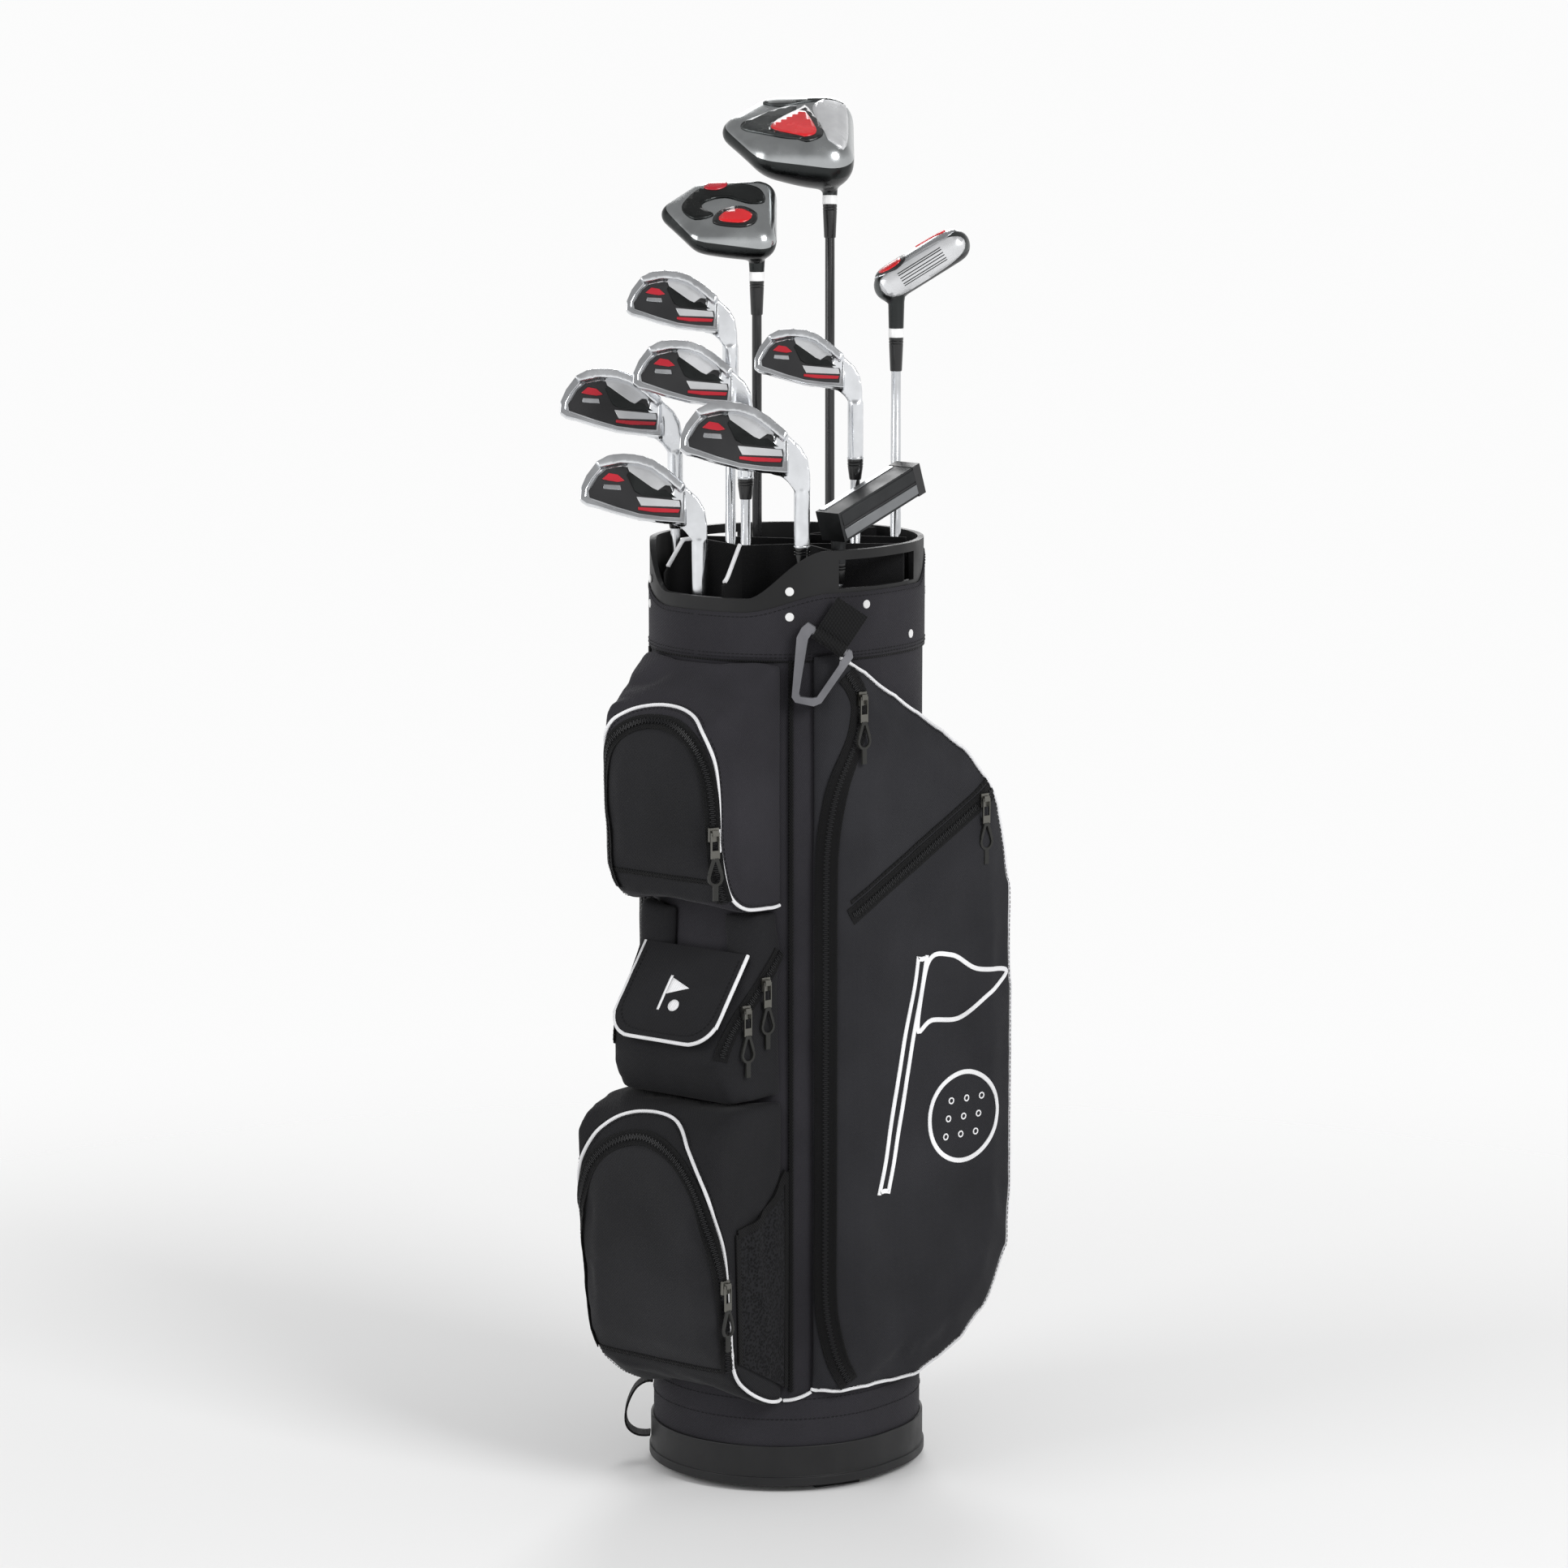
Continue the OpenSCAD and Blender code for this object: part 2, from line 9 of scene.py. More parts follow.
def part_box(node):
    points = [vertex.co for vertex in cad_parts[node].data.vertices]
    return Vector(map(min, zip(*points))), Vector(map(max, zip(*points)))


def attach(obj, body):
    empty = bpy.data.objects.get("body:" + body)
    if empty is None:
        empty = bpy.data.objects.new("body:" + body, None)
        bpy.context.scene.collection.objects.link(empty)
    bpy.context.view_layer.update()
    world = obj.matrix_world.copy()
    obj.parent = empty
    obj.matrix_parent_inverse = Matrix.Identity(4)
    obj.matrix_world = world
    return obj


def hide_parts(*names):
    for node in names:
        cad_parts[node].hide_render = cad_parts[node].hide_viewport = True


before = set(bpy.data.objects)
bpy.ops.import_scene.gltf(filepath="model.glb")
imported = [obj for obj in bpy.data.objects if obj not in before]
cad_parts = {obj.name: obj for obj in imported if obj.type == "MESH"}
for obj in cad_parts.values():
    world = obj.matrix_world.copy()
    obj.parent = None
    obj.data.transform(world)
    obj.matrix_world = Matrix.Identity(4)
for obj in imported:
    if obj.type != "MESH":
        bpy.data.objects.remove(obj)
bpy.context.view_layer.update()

MM = 0.001
TAU = 2 * math.pi


# ---------- camera, floor and light ----------

def make_camera():
    """A long lens from the bag's front right, a little above its top."""
    data = bpy.data.cameras.new("camera")
    data.sensor_width = 36
    data.lens = 118.8
    camera = bpy.data.objects.new("camera", data)
    camera.location = (2.793, -3.579, 1.350)
    camera.rotation_euler = (math.radians(80.8), 0, math.radians(38))
    bpy.context.scene.collection.objects.link(camera)
    bpy.context.scene.camera = camera


def area_light(name, azimuth, height, distance, size, power):
    """A soft lamp that looks at the middle of the bag. Azimuth 0 is in front of it, 90 on its right."""
    data = bpy.data.lights.new(name, "AREA")
    data.size = size
    data.energy = power
    lamp = bpy.data.objects.new(name, data)
    turn = math.radians(azimuth)
    lamp.location = (distance * math.sin(turn), -distance * math.cos(turn), height)
    lamp.rotation_euler = (Vector((0, 0, 0.6)) - lamp.location).to_track_quat("-Z", "Y").to_euler()
    bpy.context.scene.collection.objects.link(lamp)


# The studio has bright walls up to a sine of their elevation, and a dimmer ceiling past another
WALL_TOP, CEILING_EDGE = 0.12, 0.55
WALL_LIGHT, CEILING_LIGHT = 0.97, 0.4
# The floor is solid up to one distance from the bag and gone at the other, where the pale walls take over
FLOOR_FADE = (0.6, 1.9)


def make_studio():
    """A pale floor that fades into pale walls, and three soft lamps."""
    floor_mesh = bpy.data.meshes.new("floor")
    ring = [(9 * math.cos(TAU * i / 64), 9 * math.sin(TAU * i / 64), 0) for i in range(64)]
    floor_mesh.from_pydata(ring, [], [tuple(range(64))])
    floor = bpy.data.objects.new("floor", floor_mesh)
    paint = bpy.data.materials.new("floor_paper")
    paint.use_nodes = True
    nodes, wire = paint.node_tree.nodes, paint.node_tree.links.new
    nodes["Principled BSDF"].inputs["Base Color"].default_value = (0.88, 0.88, 0.88, 1)
    nodes["Principled BSDF"].inputs["Roughness"].default_value = 0.9
    away = nodes.new("ShaderNodeVectorMath")
    away.operation = "LENGTH"
    wire(nodes.new("ShaderNodeTexCoord").outputs["Object"], away.inputs[0])
    fade = nodes.new("ShaderNodeMapRange")
    fade.interpolation_type = "SMOOTHSTEP"
    fade.inputs[1].default_value, fade.inputs[2].default_value = FLOOR_FADE
    wire(away.outputs["Value"], fade.inputs[0])
    mix = nodes.new("ShaderNodeMixShader")
    wire(fade.outputs[0], mix.inputs[0])
    wire(nodes["Principled BSDF"].outputs[0], mix.inputs[1])
    wire(nodes.new("ShaderNodeBsdfTransparent").outputs[0], mix.inputs[2])
    wire(mix.outputs[0], nodes["Material Output"].inputs["Surface"])
    floor_mesh.materials.append(paint)
    bpy.context.scene.collection.objects.link(floor)
    world = bpy.data.worlds.new("studio")
    world.use_nodes = True
    tree = world.node_tree
    tree.nodes["Background"].inputs["Color"].default_value = (1, 1, 1, 1)
    aim = tree.nodes.new("ShaderNodeSeparateXYZ")
    tree.links.new(tree.nodes.new("ShaderNodeTexCoord").outputs["Generated"], aim.inputs[0])
    dim = tree.nodes.new("ShaderNodeMapRange")
    for socket, value in zip((1, 2, 3, 4), (WALL_TOP, CEILING_EDGE, WALL_LIGHT, CEILING_LIGHT)):
        dim.inputs[socket].default_value = value
    tree.links.new(aim.outputs[2], dim.inputs[0])
    tree.links.new(dim.outputs[0], tree.nodes["Background"].inputs["Strength"])
    bpy.context.scene.world = world
    bpy.context.scene.view_settings.view_transform = "Standard"
    area_light("key", 80, 2.5, 3.0, 1.3, 66)
    area_light("fill", -25, 2.0, 3.4, 1.8, 40)
    area_light("rim", 215, 2.4, 3.0, 1.4, 40)


# ---------- materials ----------

def linear(red, green, blue):
    """A screen colour of 0 to 255 per channel as a linear RGBA value."""
    parts = [c / 255 for c in (red, green, blue)]
    return (*(c / 12.92 if c <= 0.04045 else ((c + 0.055) / 1.055) ** 2.4 for c in parts), 1)


class Finish:
    """A node material under construction, with its pattern in object coordinates."""

    def __init__(self, name, rough, metal=0.0, sheen=0.0, coat=0.0):
        self.material = bpy.data.materials.new(name)
        self.material.use_nodes = True
        self.tree = self.material.node_tree
        self.bsdf = self.tree.nodes["Principled BSDF"]
        self.bsdf.inputs["Roughness"].default_value = rough
        self.bsdf.inputs["Metallic"].default_value = metal
        self.bsdf.inputs["Sheen Weight"].default_value = sheen
        self.bsdf.inputs["Sheen Roughness"].default_value = 0.4
        self.bsdf.inputs["Coat Weight"].default_value = coat
        self.bsdf.inputs["Coat Roughness"].default_value = 0.08
        self.coords = self.add("ShaderNodeTexCoord").outputs["Object"]

    def add(self, kind, links=None, **settings):
        node = self.tree.nodes.new(kind)
        for key, value in settings.items():
            setattr(node, key, value)
        for key, value in (links or {}).items():
            if isinstance(value, bpy.types.NodeSocket):
                self.tree.links.new(value, node.inputs[key])
            else:
                node.inputs[key].default_value = value
        return node

    def math(self, operation, first, second=0.0):
        return self.add("ShaderNodeMath", {0: first, 1: second}, operation=operation).outputs[0]

    def noise(self, scale, detail=3.0, stretch=None):
        vector = self.coords
        if stretch:
            vector = self.add("ShaderNodeMapping", {"Vector": self.coords, "Scale": stretch}).outputs[0]
        inputs = {"Vector": vector, "Scale": scale, "Detail": detail}
        return self.add("ShaderNodeTexNoise", inputs).outputs[0]

    def spread(self, value, low, high):
        """Stretches a value of about 0.3 to 0.7 to the range from low to high."""
        node = self.add("ShaderNodeMapRange", {0: value, 1: 0.3, 2: 0.7, 3: low, 4: high})
        return node.outputs[0]

    def colours(self, factor, dark, light):
        mix = self.add("ShaderNodeMix", data_type="RGBA")
        self.tree.links.new(factor, mix.inputs[0])
        mix.inputs[6].default_value = dark
        mix.inputs[7].default_value = light
        self.tree.links.new(mix.outputs[2], self.bsdf.inputs["Base Color"])

    def roughness(self, factor, low, high):
        self.tree.links.new(self.spread(factor, low, high), self.bsdf.inputs["Roughness"])

    def bump(self, height, strength, distance):
        node = self.add("ShaderNodeBump", {"Height": height, "Strength": strength, "Distance": distance})
        self.tree.links.new(node.outputs[0], self.bsdf.inputs["Normal"])

    def weave(self, pitch):
        """Height of a plain weave whose threads run round the bag and up it."""
        axes = self.add("ShaderNodeSeparateXYZ", {0: self.coords})
        around = self.math("ADD", axes.outputs[0], axes.outputs[1])
        turns = math.pi / pitch
        weft = self.math("SINE", self.math("MULTIPLY", around, turns))
        warp = self.math("SINE", self.math("MULTIPLY", axes.outputs[2], turns))
        return self.math("MULTIPLY", weft, warp)


def shade(colour, factor):
    """The colour made darker or lighter."""
    return (*(min(1, c * factor) for c in colour[:3]), 1)


def fabric(name, colour, pitch=0.0013, sheen=0.05):
    """Woven cloth with its threads in relief and a slightly uneven dye."""
    finish = Finish(name, 0.82, sheen=sheen)
    finish.bsdf.inputs["Specular IOR Level"].default_value = 0.14
    threads = finish.weave(pitch)
    blotch = finish.noise(9, 4)
    fine = finish.noise(900, 2)
    # The colour mixes painted shade along the thread relief with the dye's slow unevenness
    mixed = finish.math("ADD", finish.math("MULTIPLY", threads, 0.1), blotch)
    factor = finish.spread(mixed, 0, 1)
    finish.colours(factor, shade(colour, 0.78), shade(colour, 1.22))
    finish.roughness(fine, 0.72, 0.92)
    finish.bump(finish.math("ADD", threads, fine), 0.5, 0.00025)
    return finish.material


def mesh_cloth(name, colour):
    """Knitted mesh: small cells with dark holes."""
    finish = Finish(name, 0.8, sheen=0.05)
    finish.bsdf.inputs["Specular IOR Level"].default_value = 0.14
    inputs = {"Vector": finish.coords, "Scale": 420}
    cells = finish.add("ShaderNodeTexVoronoi", inputs, distance="CHEBYCHEV")
    # Painted shade: the holes are coloured near black for the shaded cloth seen through them, and the knit
    # round them is lighter
    holes = finish.add("ShaderNodeMapRange", {0: cells.outputs["Distance"], 1: 0.25, 2: 0.5, 3: 1, 4: 0})
    finish.colours(holes.outputs[0], shade(colour, 1.5), shade(colour, 0.35))
    finish.bump(cells.outputs["Distance"], 0.8, 0.0006)
    return finish.material


def webbing(name, colour, pitch=0.0022):
    """Narrow ribbed tape."""
    finish = Finish(name, 0.72, sheen=0.04)
    finish.bsdf.inputs["Specular IOR Level"].default_value = 0.18
    ribs = finish.weave(pitch)
    # Painted shade and highlight: the tape's colour follows its rib relief, dark in the grooves and light
    # on the crests
    factor = finish.spread(finish.math("ADD", ribs, 0.5), 0, 1)
    finish.colours(factor, shade(colour, 0.6), shade(colour, 1.35))
    finish.bump(ribs, 0.8, 0.0005)
    return finish.material


def moulded(name, colour, rough=0.5, grain=0.35):
    """Moulded plastic or rubber with a fine spark-eroded grain, scuffed a little."""
    finish = Finish(name, rough)
    finish.bsdf.inputs["Specular IOR Level"].default_value = 0.3
    pebble = finish.noise(1500, 2)
    scuff = finish.noise(35, 6)
    finish.colours(finish.spread(scuff, 0, 1), shade(colour, 0.85), shade(colour, 1.25))
    finish.roughness(scuff, rough - 0.08, rough + 0.1)
    finish.bump(pebble, grain, 0.00012)
    return finish.material


def metal(name, colour, rough=0.25, brush=(1, 1, 14), coat=0.0, grain=0.12):
    """Metal with fine polishing lines across the brush direction and faint handling marks."""
    finish = Finish(name, rough, metal=1.0, coat=coat)
    lines = finish.noise(260, 3, brush)
    marks = finish.noise(40, 5)
    finish.colours(finish.spread(marks, 0, 1), shade(colour, 0.86), shade(colour, 1.08))
    finish.roughness(marks, max(0.04, rough - 0.08), rough + 0.1)
    finish.bump(lines, grain, 0.00008)
    return finish.material


def enamel(name, colour, rough=0.28, coat=0.6, flake=0.0):
    """Glossy paint over metal, with faint orange peel."""
    finish = Finish(name, rough, metal=flake, coat=coat)
    peel = finish.noise(240, 2)
    depth = finish.noise(22, 4)
    finish.colours(finish.spread(depth, 0, 1), shade(colour, 0.82), shade(colour, 1.15))
    finish.roughness(depth, max(0.05, rough - 0.06), rough + 0.08)
    finish.bump(peel, 0.12, 0.0001)
    return finish.material


def grip_rubber(name):
    """Club grip: dark rubber with rows of small diamond grooves."""
    finish = Finish(name, 0.75)
    axes = finish.add("ShaderNodeSeparateXYZ", {0: finish.coords})
    rise = finish.math("MULTIPLY", axes.outputs[2], TAU / 0.006)
    turn = finish.math("MULTIPLY", finish.math("ADD", axes.outputs[0], axes.outputs[1]), TAU / 0.006)
    first = finish.math("SINE", finish.math("ADD", rise, turn))
    second = finish.math("SINE", finish.math("SUBTRACT", rise, turn))
    grooves = finish.math("MAXIMUM", first, second)
    # Painted shade: the rubber's colour follows the groove relief, dark where the grooves sink and lighter
    # on the raised diamonds
    finish.colours(finish.spread(finish.math("MULTIPLY", grooves, 0.6), 0, 1),
                   linear(14, 14, 15), linear(38, 38, 40))
    finish.bump(grooves, 0.8, 0.0006)
    return finish.material


# Each finish: its maker, its screen colour, and what else its maker takes
FINISH_ROWS = {
    "body_cloth": (fabric, (43, 42, 46)),
    "face_cloth": (fabric, (32, 32, 34), 0.0015),
    "side_cloth": (fabric, (40, 40, 43)),
    "gusset_cloth": (fabric, (31, 31, 33)),
    "low_cloth": (fabric, (31, 31, 33)),
    "low_face_cloth": (fabric, (38, 38, 40), 0.0015),
    "divider_cloth": (fabric, (17, 17, 18), 0.0012, 0.05),
    "mesh_cloth": (mesh_cloth, (24, 24, 26)),
    "tape_cloth": (webbing, (15, 15, 16), 0.0011),
    "binding_cloth": (webbing, (15, 15, 16), 0.0014),
    "black_webbing": (webbing, (16, 16, 17)),
    "white_piping": (fabric, (226, 226, 228), 0.0011, 0.1),
    "dark_thread": (fabric, (20, 20, 22), 0.0006, 0.1),
    "white_print": (fabric, (232, 232, 234), 0.0012, 0.1),
    "zip_coil": (moulded, (20, 20, 22), 0.35),
    "moulded_black": (moulded, (28, 28, 29), 0.48),
    "mouth_black": (moulded, (17, 17, 18), 0.5),
    "foot_rubber": (moulded, (20, 20, 21), 0.8, 0.6),
    "ring_grey": (moulded, (100, 100, 104), 0.4),
    "cord_rubber": (moulded, (36, 36, 34), 0.5),
    "foam": (fabric, (56, 56, 58), 0.003, 0.2),
    # White enamel: on the collar's metal studs it is a painted highlight standing in for their glints; on
    # the grip caps it is the vents' own white
    "rivet_white": (enamel, (220, 220, 220), 0.3, 0.3),
    "zip_metal": (metal, (108, 107, 102), 0.32),
    "chrome": (metal, (216, 218, 221), 0.12),
    "satin": (metal, (196, 198, 201), 0.26, (1, 14, 1)),
    "iron_steel": (metal, (224, 226, 229), 0.2, (1, 14, 1), 0.0, 0.06),
    "plate_silver": (enamel, (208, 209, 211), 0.24, 0.2, 0.45),
    "wood_silver": (metal, (176, 179, 180), 0.2, (14, 1, 1)),
    "gunmetal": (metal, (92, 95, 95), 0.26),
    "dark_gunmetal": (metal, (56, 58, 58), 0.28),
    "black_gloss": (enamel, (12, 12, 13), 0.28, 0.2),
    "black_satin": (enamel, (26, 26, 28), 0.42, 0.0),
    "putter_black": (metal, (62, 63, 64), 0.44),
    "putter_grey": (metal, (132, 134, 136), 0.4),
    "wood_red": (enamel, (212, 18, 28), 0.26, 0.3),
    "iron_red": (enamel, (172, 20, 38), 0.3, 0.3),
    "ferrule_black": (enamel, (14, 14, 15), 0.3, 0.2),
    "ferrule_white": (enamel, (236, 236, 236), 0.35, 0.3),
    "graphite": (enamel, (18, 18, 20), 0.27, 0.2),
    "steel_tube": (metal, (206, 208, 211), 0.16)
}
FINISHES = {name: maker(name, linear(*colour), *more)
            for name, (maker, colour, *more) in FINISH_ROWS.items()}
FINISHES["grip_rubber"] = grip_rubber("grip_rubber")


# ---------- paths and meshes ----------

def mm(*point):
    """A point given in millimetres."""
    return Vector(point) * MM


def curve_through(points, step=0.004, closed=False):
    """Points about step apart on a smooth curve through the given ones."""
    if closed:
        ends = [points[-1], *points, points[0], points[1]]
    else:
        ends = [2 * points[0] - points[1], *points, 2 * points[-1] - points[-2]]
    found = []
    for a, b, c, d in zip(ends, ends[1:], ends[2:], ends[3:]):
        count = max(1, round((c - b).length / step))
        for i in range(count):
            t = i / count
            bend = (2 * a - 5 * b + 4 * c - d) * t * t + (3 * b - a - 3 * c + d) * t ** 3
            found.append(0.5 * (2 * b + (c - a) * t + bend))
    return found if closed else found + [points[-1]]


def evenly(line, pitch):
    """The line's (place, normal) pairs again, pitch apart along it."""
    found, left = [line[0]], pitch
    for (a, first), (b, second) in zip(line, line[1:]):
        length, gone = (b - a).length, 0.0
        while length - gone >= left:
            gone += left
            share = gone / length
            found.append((a.lerp(b, share), first.lerp(second, share).normalized()))
            left = pitch
        left -= length - gone
    return found


def surface_of(obj):
    return BVHTree.FromObject(obj, bpy.context.evaluated_depsgraph_get())


def laid(points, surface, lift=0.0, even=3):
    """The points moved onto the surface and lifted off it, with their places and normals evened out."""
    hits = [surface.find_nearest(p)[:2] for p in points]
    line = []
    for i in range(len(hits)):
        reach = min(even, i, len(hits) - 1 - i)
        near = hits[i - reach:i + reach + 1]
        place = sum((p for p, _ in near), Vector()) / len(near)
        wide = hits[max(0, i - 3):i + 4]
        normal = sum((n for _, n in wide), Vector()).normalized()
        out = (hits[i][0] - place).dot(normal)
        line.append((place + normal * (lift + max(0, out)), normal))
    return line


def upright(points, out):
    """The points as a line whose normals stay as near as they can to the direction out."""
    line = []
    for i, place in enumerate(points):
        along = (points[min(i + 1, len(points) - 1)] - points[max(i - 1, 0)]).normalized()
        normal = out - along * out.dot(along)
        line.append((place, normal.normalized()))
    return line


def circle(radius, sides=8, flat=1.0):
    return [(radius * math.cos(TAU * i / sides), flat * radius * math.sin(TAU * i / sides))
            for i in range(sides)]


def strip(width, thick):
    """Profile of a flat band that lies on its line, with its corners taken off."""
    half, edge = width / 2, min(thick / 2, width / 6)
    return [(-half, 0), (half, 0), (half, thick - edge), (half - edge, thick),
            (edge - half, thick), (-half, thick - edge)]


def sweep(line, profile, closed=False, scales=None):
    """A profile of (across, out) points drawn along (place, normal) pairs."""
    verts, faces = [], []
    sides, last = len(profile), len(line)
    for i, (place, normal) in enumerate(line):
        ahead = line[(i + 1) % last] if closed else line[min(i + 1, last - 1)]
        behind = line[i - 1] if closed or i else line[0]
        along = (ahead[0] - behind[0]).normalized()
        across = along.cross(normal).normalized()
        out = across.cross(along)
        size = scales[i] if scales else 1
        verts += [place + across * (a * size) + out * (o * size) for a, o in profile]
    for i in range(last if closed else last - 1):
        for k in range(sides):
            here, there = i * sides, (i + 1) % last * sides
            faces.append((here + k, here + (k + 1) % sides, there + (k + 1) % sides, there + k))
    if not closed:
        faces.append(tuple(range(sides)))
        faces.append(tuple((last - 1) * sides + k for k in range(sides)))
    return verts, faces


def finish_object(name, mesh, material, body, smooth=True):
    obj = bpy.data.objects.new(name, mesh)
    bpy.context.scene.collection.objects.link(obj)
    mesh.materials.append(FINISHES[material])
    if smooth:
        mesh.shade_smooth()
        mesh.set_sharp_from_angle(angle=math.radians(38))
    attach(obj, body)
    return obj


def make(name, parts, material, body, smooth=True):
    """One object of several (verts, faces) parts."""
    verts, faces = [], []
    for part_verts, part_faces in parts:
        base = len(verts)
        verts += part_verts
        faces += [tuple(base + i for i in face) for face in part_faces]
    mesh = bpy.data.meshes.new(name)
    mesh.from_pydata([tuple(v) for v in verts], [], faces)
    shell = bmesh.new()
    shell.from_mesh(mesh)
    bmesh.ops.recalc_face_normals(shell, faces=shell.faces)
    shell.to_mesh(mesh)
    shell.free()
    return finish_object(name, mesh, material, body, smooth)


def bevelled(obj, width, segments=2, angle=35):
    bevel = obj.modifiers.new("edges", "BEVEL")
    bevel.width = width
    bevel.segments = segments
    bevel.limit_method = "ANGLE"
    bevel.angle_limit = math.radians(angle)
    bevel.harden_normals = False
    return obj


def stitches(line, offset=0.0, length=0.0026, pitch=0.0042, radius=0.00032):
    """Short raised threads along a line, offset to its side."""
    parts = []
    for (a, normal), (b, _) in zip(evenly(line, pitch), evenly(line, pitch)[1:]):
        across = (b - a).cross(normal).normalized() * offset
        start, end = a + across, a + across + (b - a) * (length / pitch)
        middle = (start + end) / 2 + normal * 0.0003
        parts.append(sweep([(start, normal), (middle, normal), (end, normal)], circle(radius, 5)))
    return parts


def double_stitched(name, line, offset, body):
    """A row of stitches down each side of a line."""
    sewn = stitches(line, offset) + stitches(line, -offset)
    make(name + "_stitches", sewn, "dark_thread", body)


def zip_teeth(line, pitch=0.0018):
    """Interlocked coil teeth along a line."""
    places = evenly(line, pitch)
    parts = []
    for i, ((a, normal), (b, _)) in enumerate(zip(places, places[1:])):
        along = (b - a).normalized()
        across = along.cross(normal).normalized()
        side = 0.0006 if i % 2 else -0.0006
        start, end = a + across * (side - 0.0021), a + across * (side + 0.0021)
        parts.append(sweep([(start, normal), (end, normal)], [(-0.0006, 0), (0.0006, 0), (0.0005, 0.0011),
                                                               (-0.0005, 0.0011)]))
    return parts


def zip_run(name, points, surface, body="bag", width=0.022, lift=0.0003):
    """A zip laid on a surface: its tape, its coil and the stitching down both sides."""
    line = laid(curve_through(points), surface, lift)
    raised = [(place + normal * 0.0007, normal) for place, normal in line]
    make(name + "_tape", [sweep(line, strip(width, 0.0008))], "tape_cloth", body)
    make(name + "_teeth", zip_teeth(raised), "zip_coil", body)
    double_stitched(name, raised, width / 2 - 0.0025, body)


def piping(name, points, surface, radius=0.0016, body="bag", closed=False):
    """A white cord edging laid into a seam, with its dark sewn flange beside it."""
    line = laid(curve_through(points, closed=closed), surface, radius * 0.55)
    make(name, [sweep(line, circle(radius), closed)], "white_piping", body)
    flange = [(place - normal * radius * 0.55, normal) for place, normal in line]
    double_stitched(name, flange, radius + 0.0022, body)


def seam(name, points, surface, body="bag", width=0.007, material="binding_cloth", thick=0.0009):
    """A narrow bound seam with a row of stitches down each side."""
    line = laid(curve_through(points), surface, 0.0001)
    make(name, [sweep(line, strip(width, thick))], material, body)
    top = [(place + normal * thick, normal) for place, normal in line]
    double_stitched(name, top, width / 2 - 0.0012, body)


def patch(name, outline, place, surface, material, body, lift=0.0004, thick=0.0008, grid=0.004):
    """A flat outline in the place's own XY, dropped along its -Z onto a surface and given a thickness."""
    shell = bmesh.new()
    shell.faces.new([shell.verts.new((x, y, 0)) for x, y in outline])
    for axis in (0, 1):
        low, high = min(p[axis] for p in outline), max(p[axis] for p in outline)
        for i in range(1, int((high - low) / grid) + 1):
            point = [0, 0, 0]
            point[axis] = low + i * grid
            normal = [0, 0, 0]
            normal[axis] = 1
            everything = shell.verts[:] + shell.edges[:] + shell.faces[:]
            bmesh.ops.bisect_plane(shell, geom=everything, plane_co=point, plane_no=normal)
    down = (place.to_3x3() @ Vector((0, 0, -1))).normalized()
    for vert in shell.verts:
        start = place @ vert.co
        hit = surface.ray_cast(start - down * 0.2, down, 0.4)
        if hit[0] is None:
            hit = surface.find_nearest(start)
        vert.co = hit[0] - down * lift
    bmesh.ops.recalc_face_normals(shell, faces=shell.faces)
    shell.normal_update()
    if sum((face.normal for face in shell.faces), Vector()).dot(down) > 0:
        bmesh.ops.reverse_faces(shell, faces=shell.faces)
    bmesh.ops.remove_doubles(shell, verts=shell.verts, dist=0.00002)
    mesh = bpy.data.meshes.new(name)
    shell.to_mesh(mesh)
    shell.free()
    obj = finish_object(name, mesh, material, body)
    solid = obj.modifiers.new("thickness", "SOLIDIFY")
    solid.thickness = thick
    solid.offset = 1
    return obj


def prism(outline, low, high, place=Matrix.Identity(4)):
    """(verts, faces) of an outline in XY drawn from low to high along Z, then put in its place."""
    count = len(outline)
    verts = [place @ Vector((x, y, z)) for z in (low, high) for x, y in outline]
    faces = [tuple(range(count)), tuple(range(count, 2 * count))]
    faces += [(i, (i + 1) % count, count + (i + 1) % count, count + i) for i in range(count)]
    return verts, faces


def frame_prism(outer, inner, low, high, place):
    """A prism with a hole whose outline has as many points as the outer one."""
    count = len(outer)
    verts = [place @ Vector((x, y, z)) for z in (low, high) for ring in (outer, inner) for x, y in ring]
    faces = []
    for i in range(count):
        j = (i + 1) % count
        o, n, top_o, top_n = 0, count, 2 * count, 3 * count
        faces += [(o + i, o + j, n + j, n + i), (top_o + i, top_o + j, top_n + j, top_n + i),
                  (o + i, o + j, top_o + j, top_o + i), (n + i, n + j, top_n + j, top_n + i)]
    return verts, faces


def lathe(rings, place, sides=32):
    """A turned shape from (height, radius) rings about the place's Z axis."""
    line = [(place @ Vector((0, 0, height)), place.to_3x3() @ Vector((0, 1, 0))) for height, _ in rings]
    return sweep(line, circle(1, sides), scales=[radius for _, radius in rings])


# ---------- CAD nodes that keep their shape ----------

def copy_of(node, name):
    """A visible copy of a CAD node's mesh under a name of its own."""
    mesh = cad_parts[node].data.copy()
    mesh.name = name
    mesh.materials.clear()
    return mesh


def weld(mesh):
    shell = bmesh.new()
    shell.from_mesh(mesh)
    bmesh.ops.remove_doubles(shell, verts=shell.verts, dist=0.00001)
    bmesh.ops.dissolve_limit(shell, angle_limit=0.01, verts=shell.verts, edges=shell.edges)
    shell.to_mesh(mesh)
    shell.free()


def softened(node, material, body, width=0.001, segments=2):
    """A moulded part: the CAD shape with its edges rounded."""
    mesh = copy_of(node, node + "_moulding")
    weld(mesh)
    obj = finish_object(node + "_moulding", mesh, material, body)
    bevelled(obj, width, segments)
    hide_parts(node)
    return obj


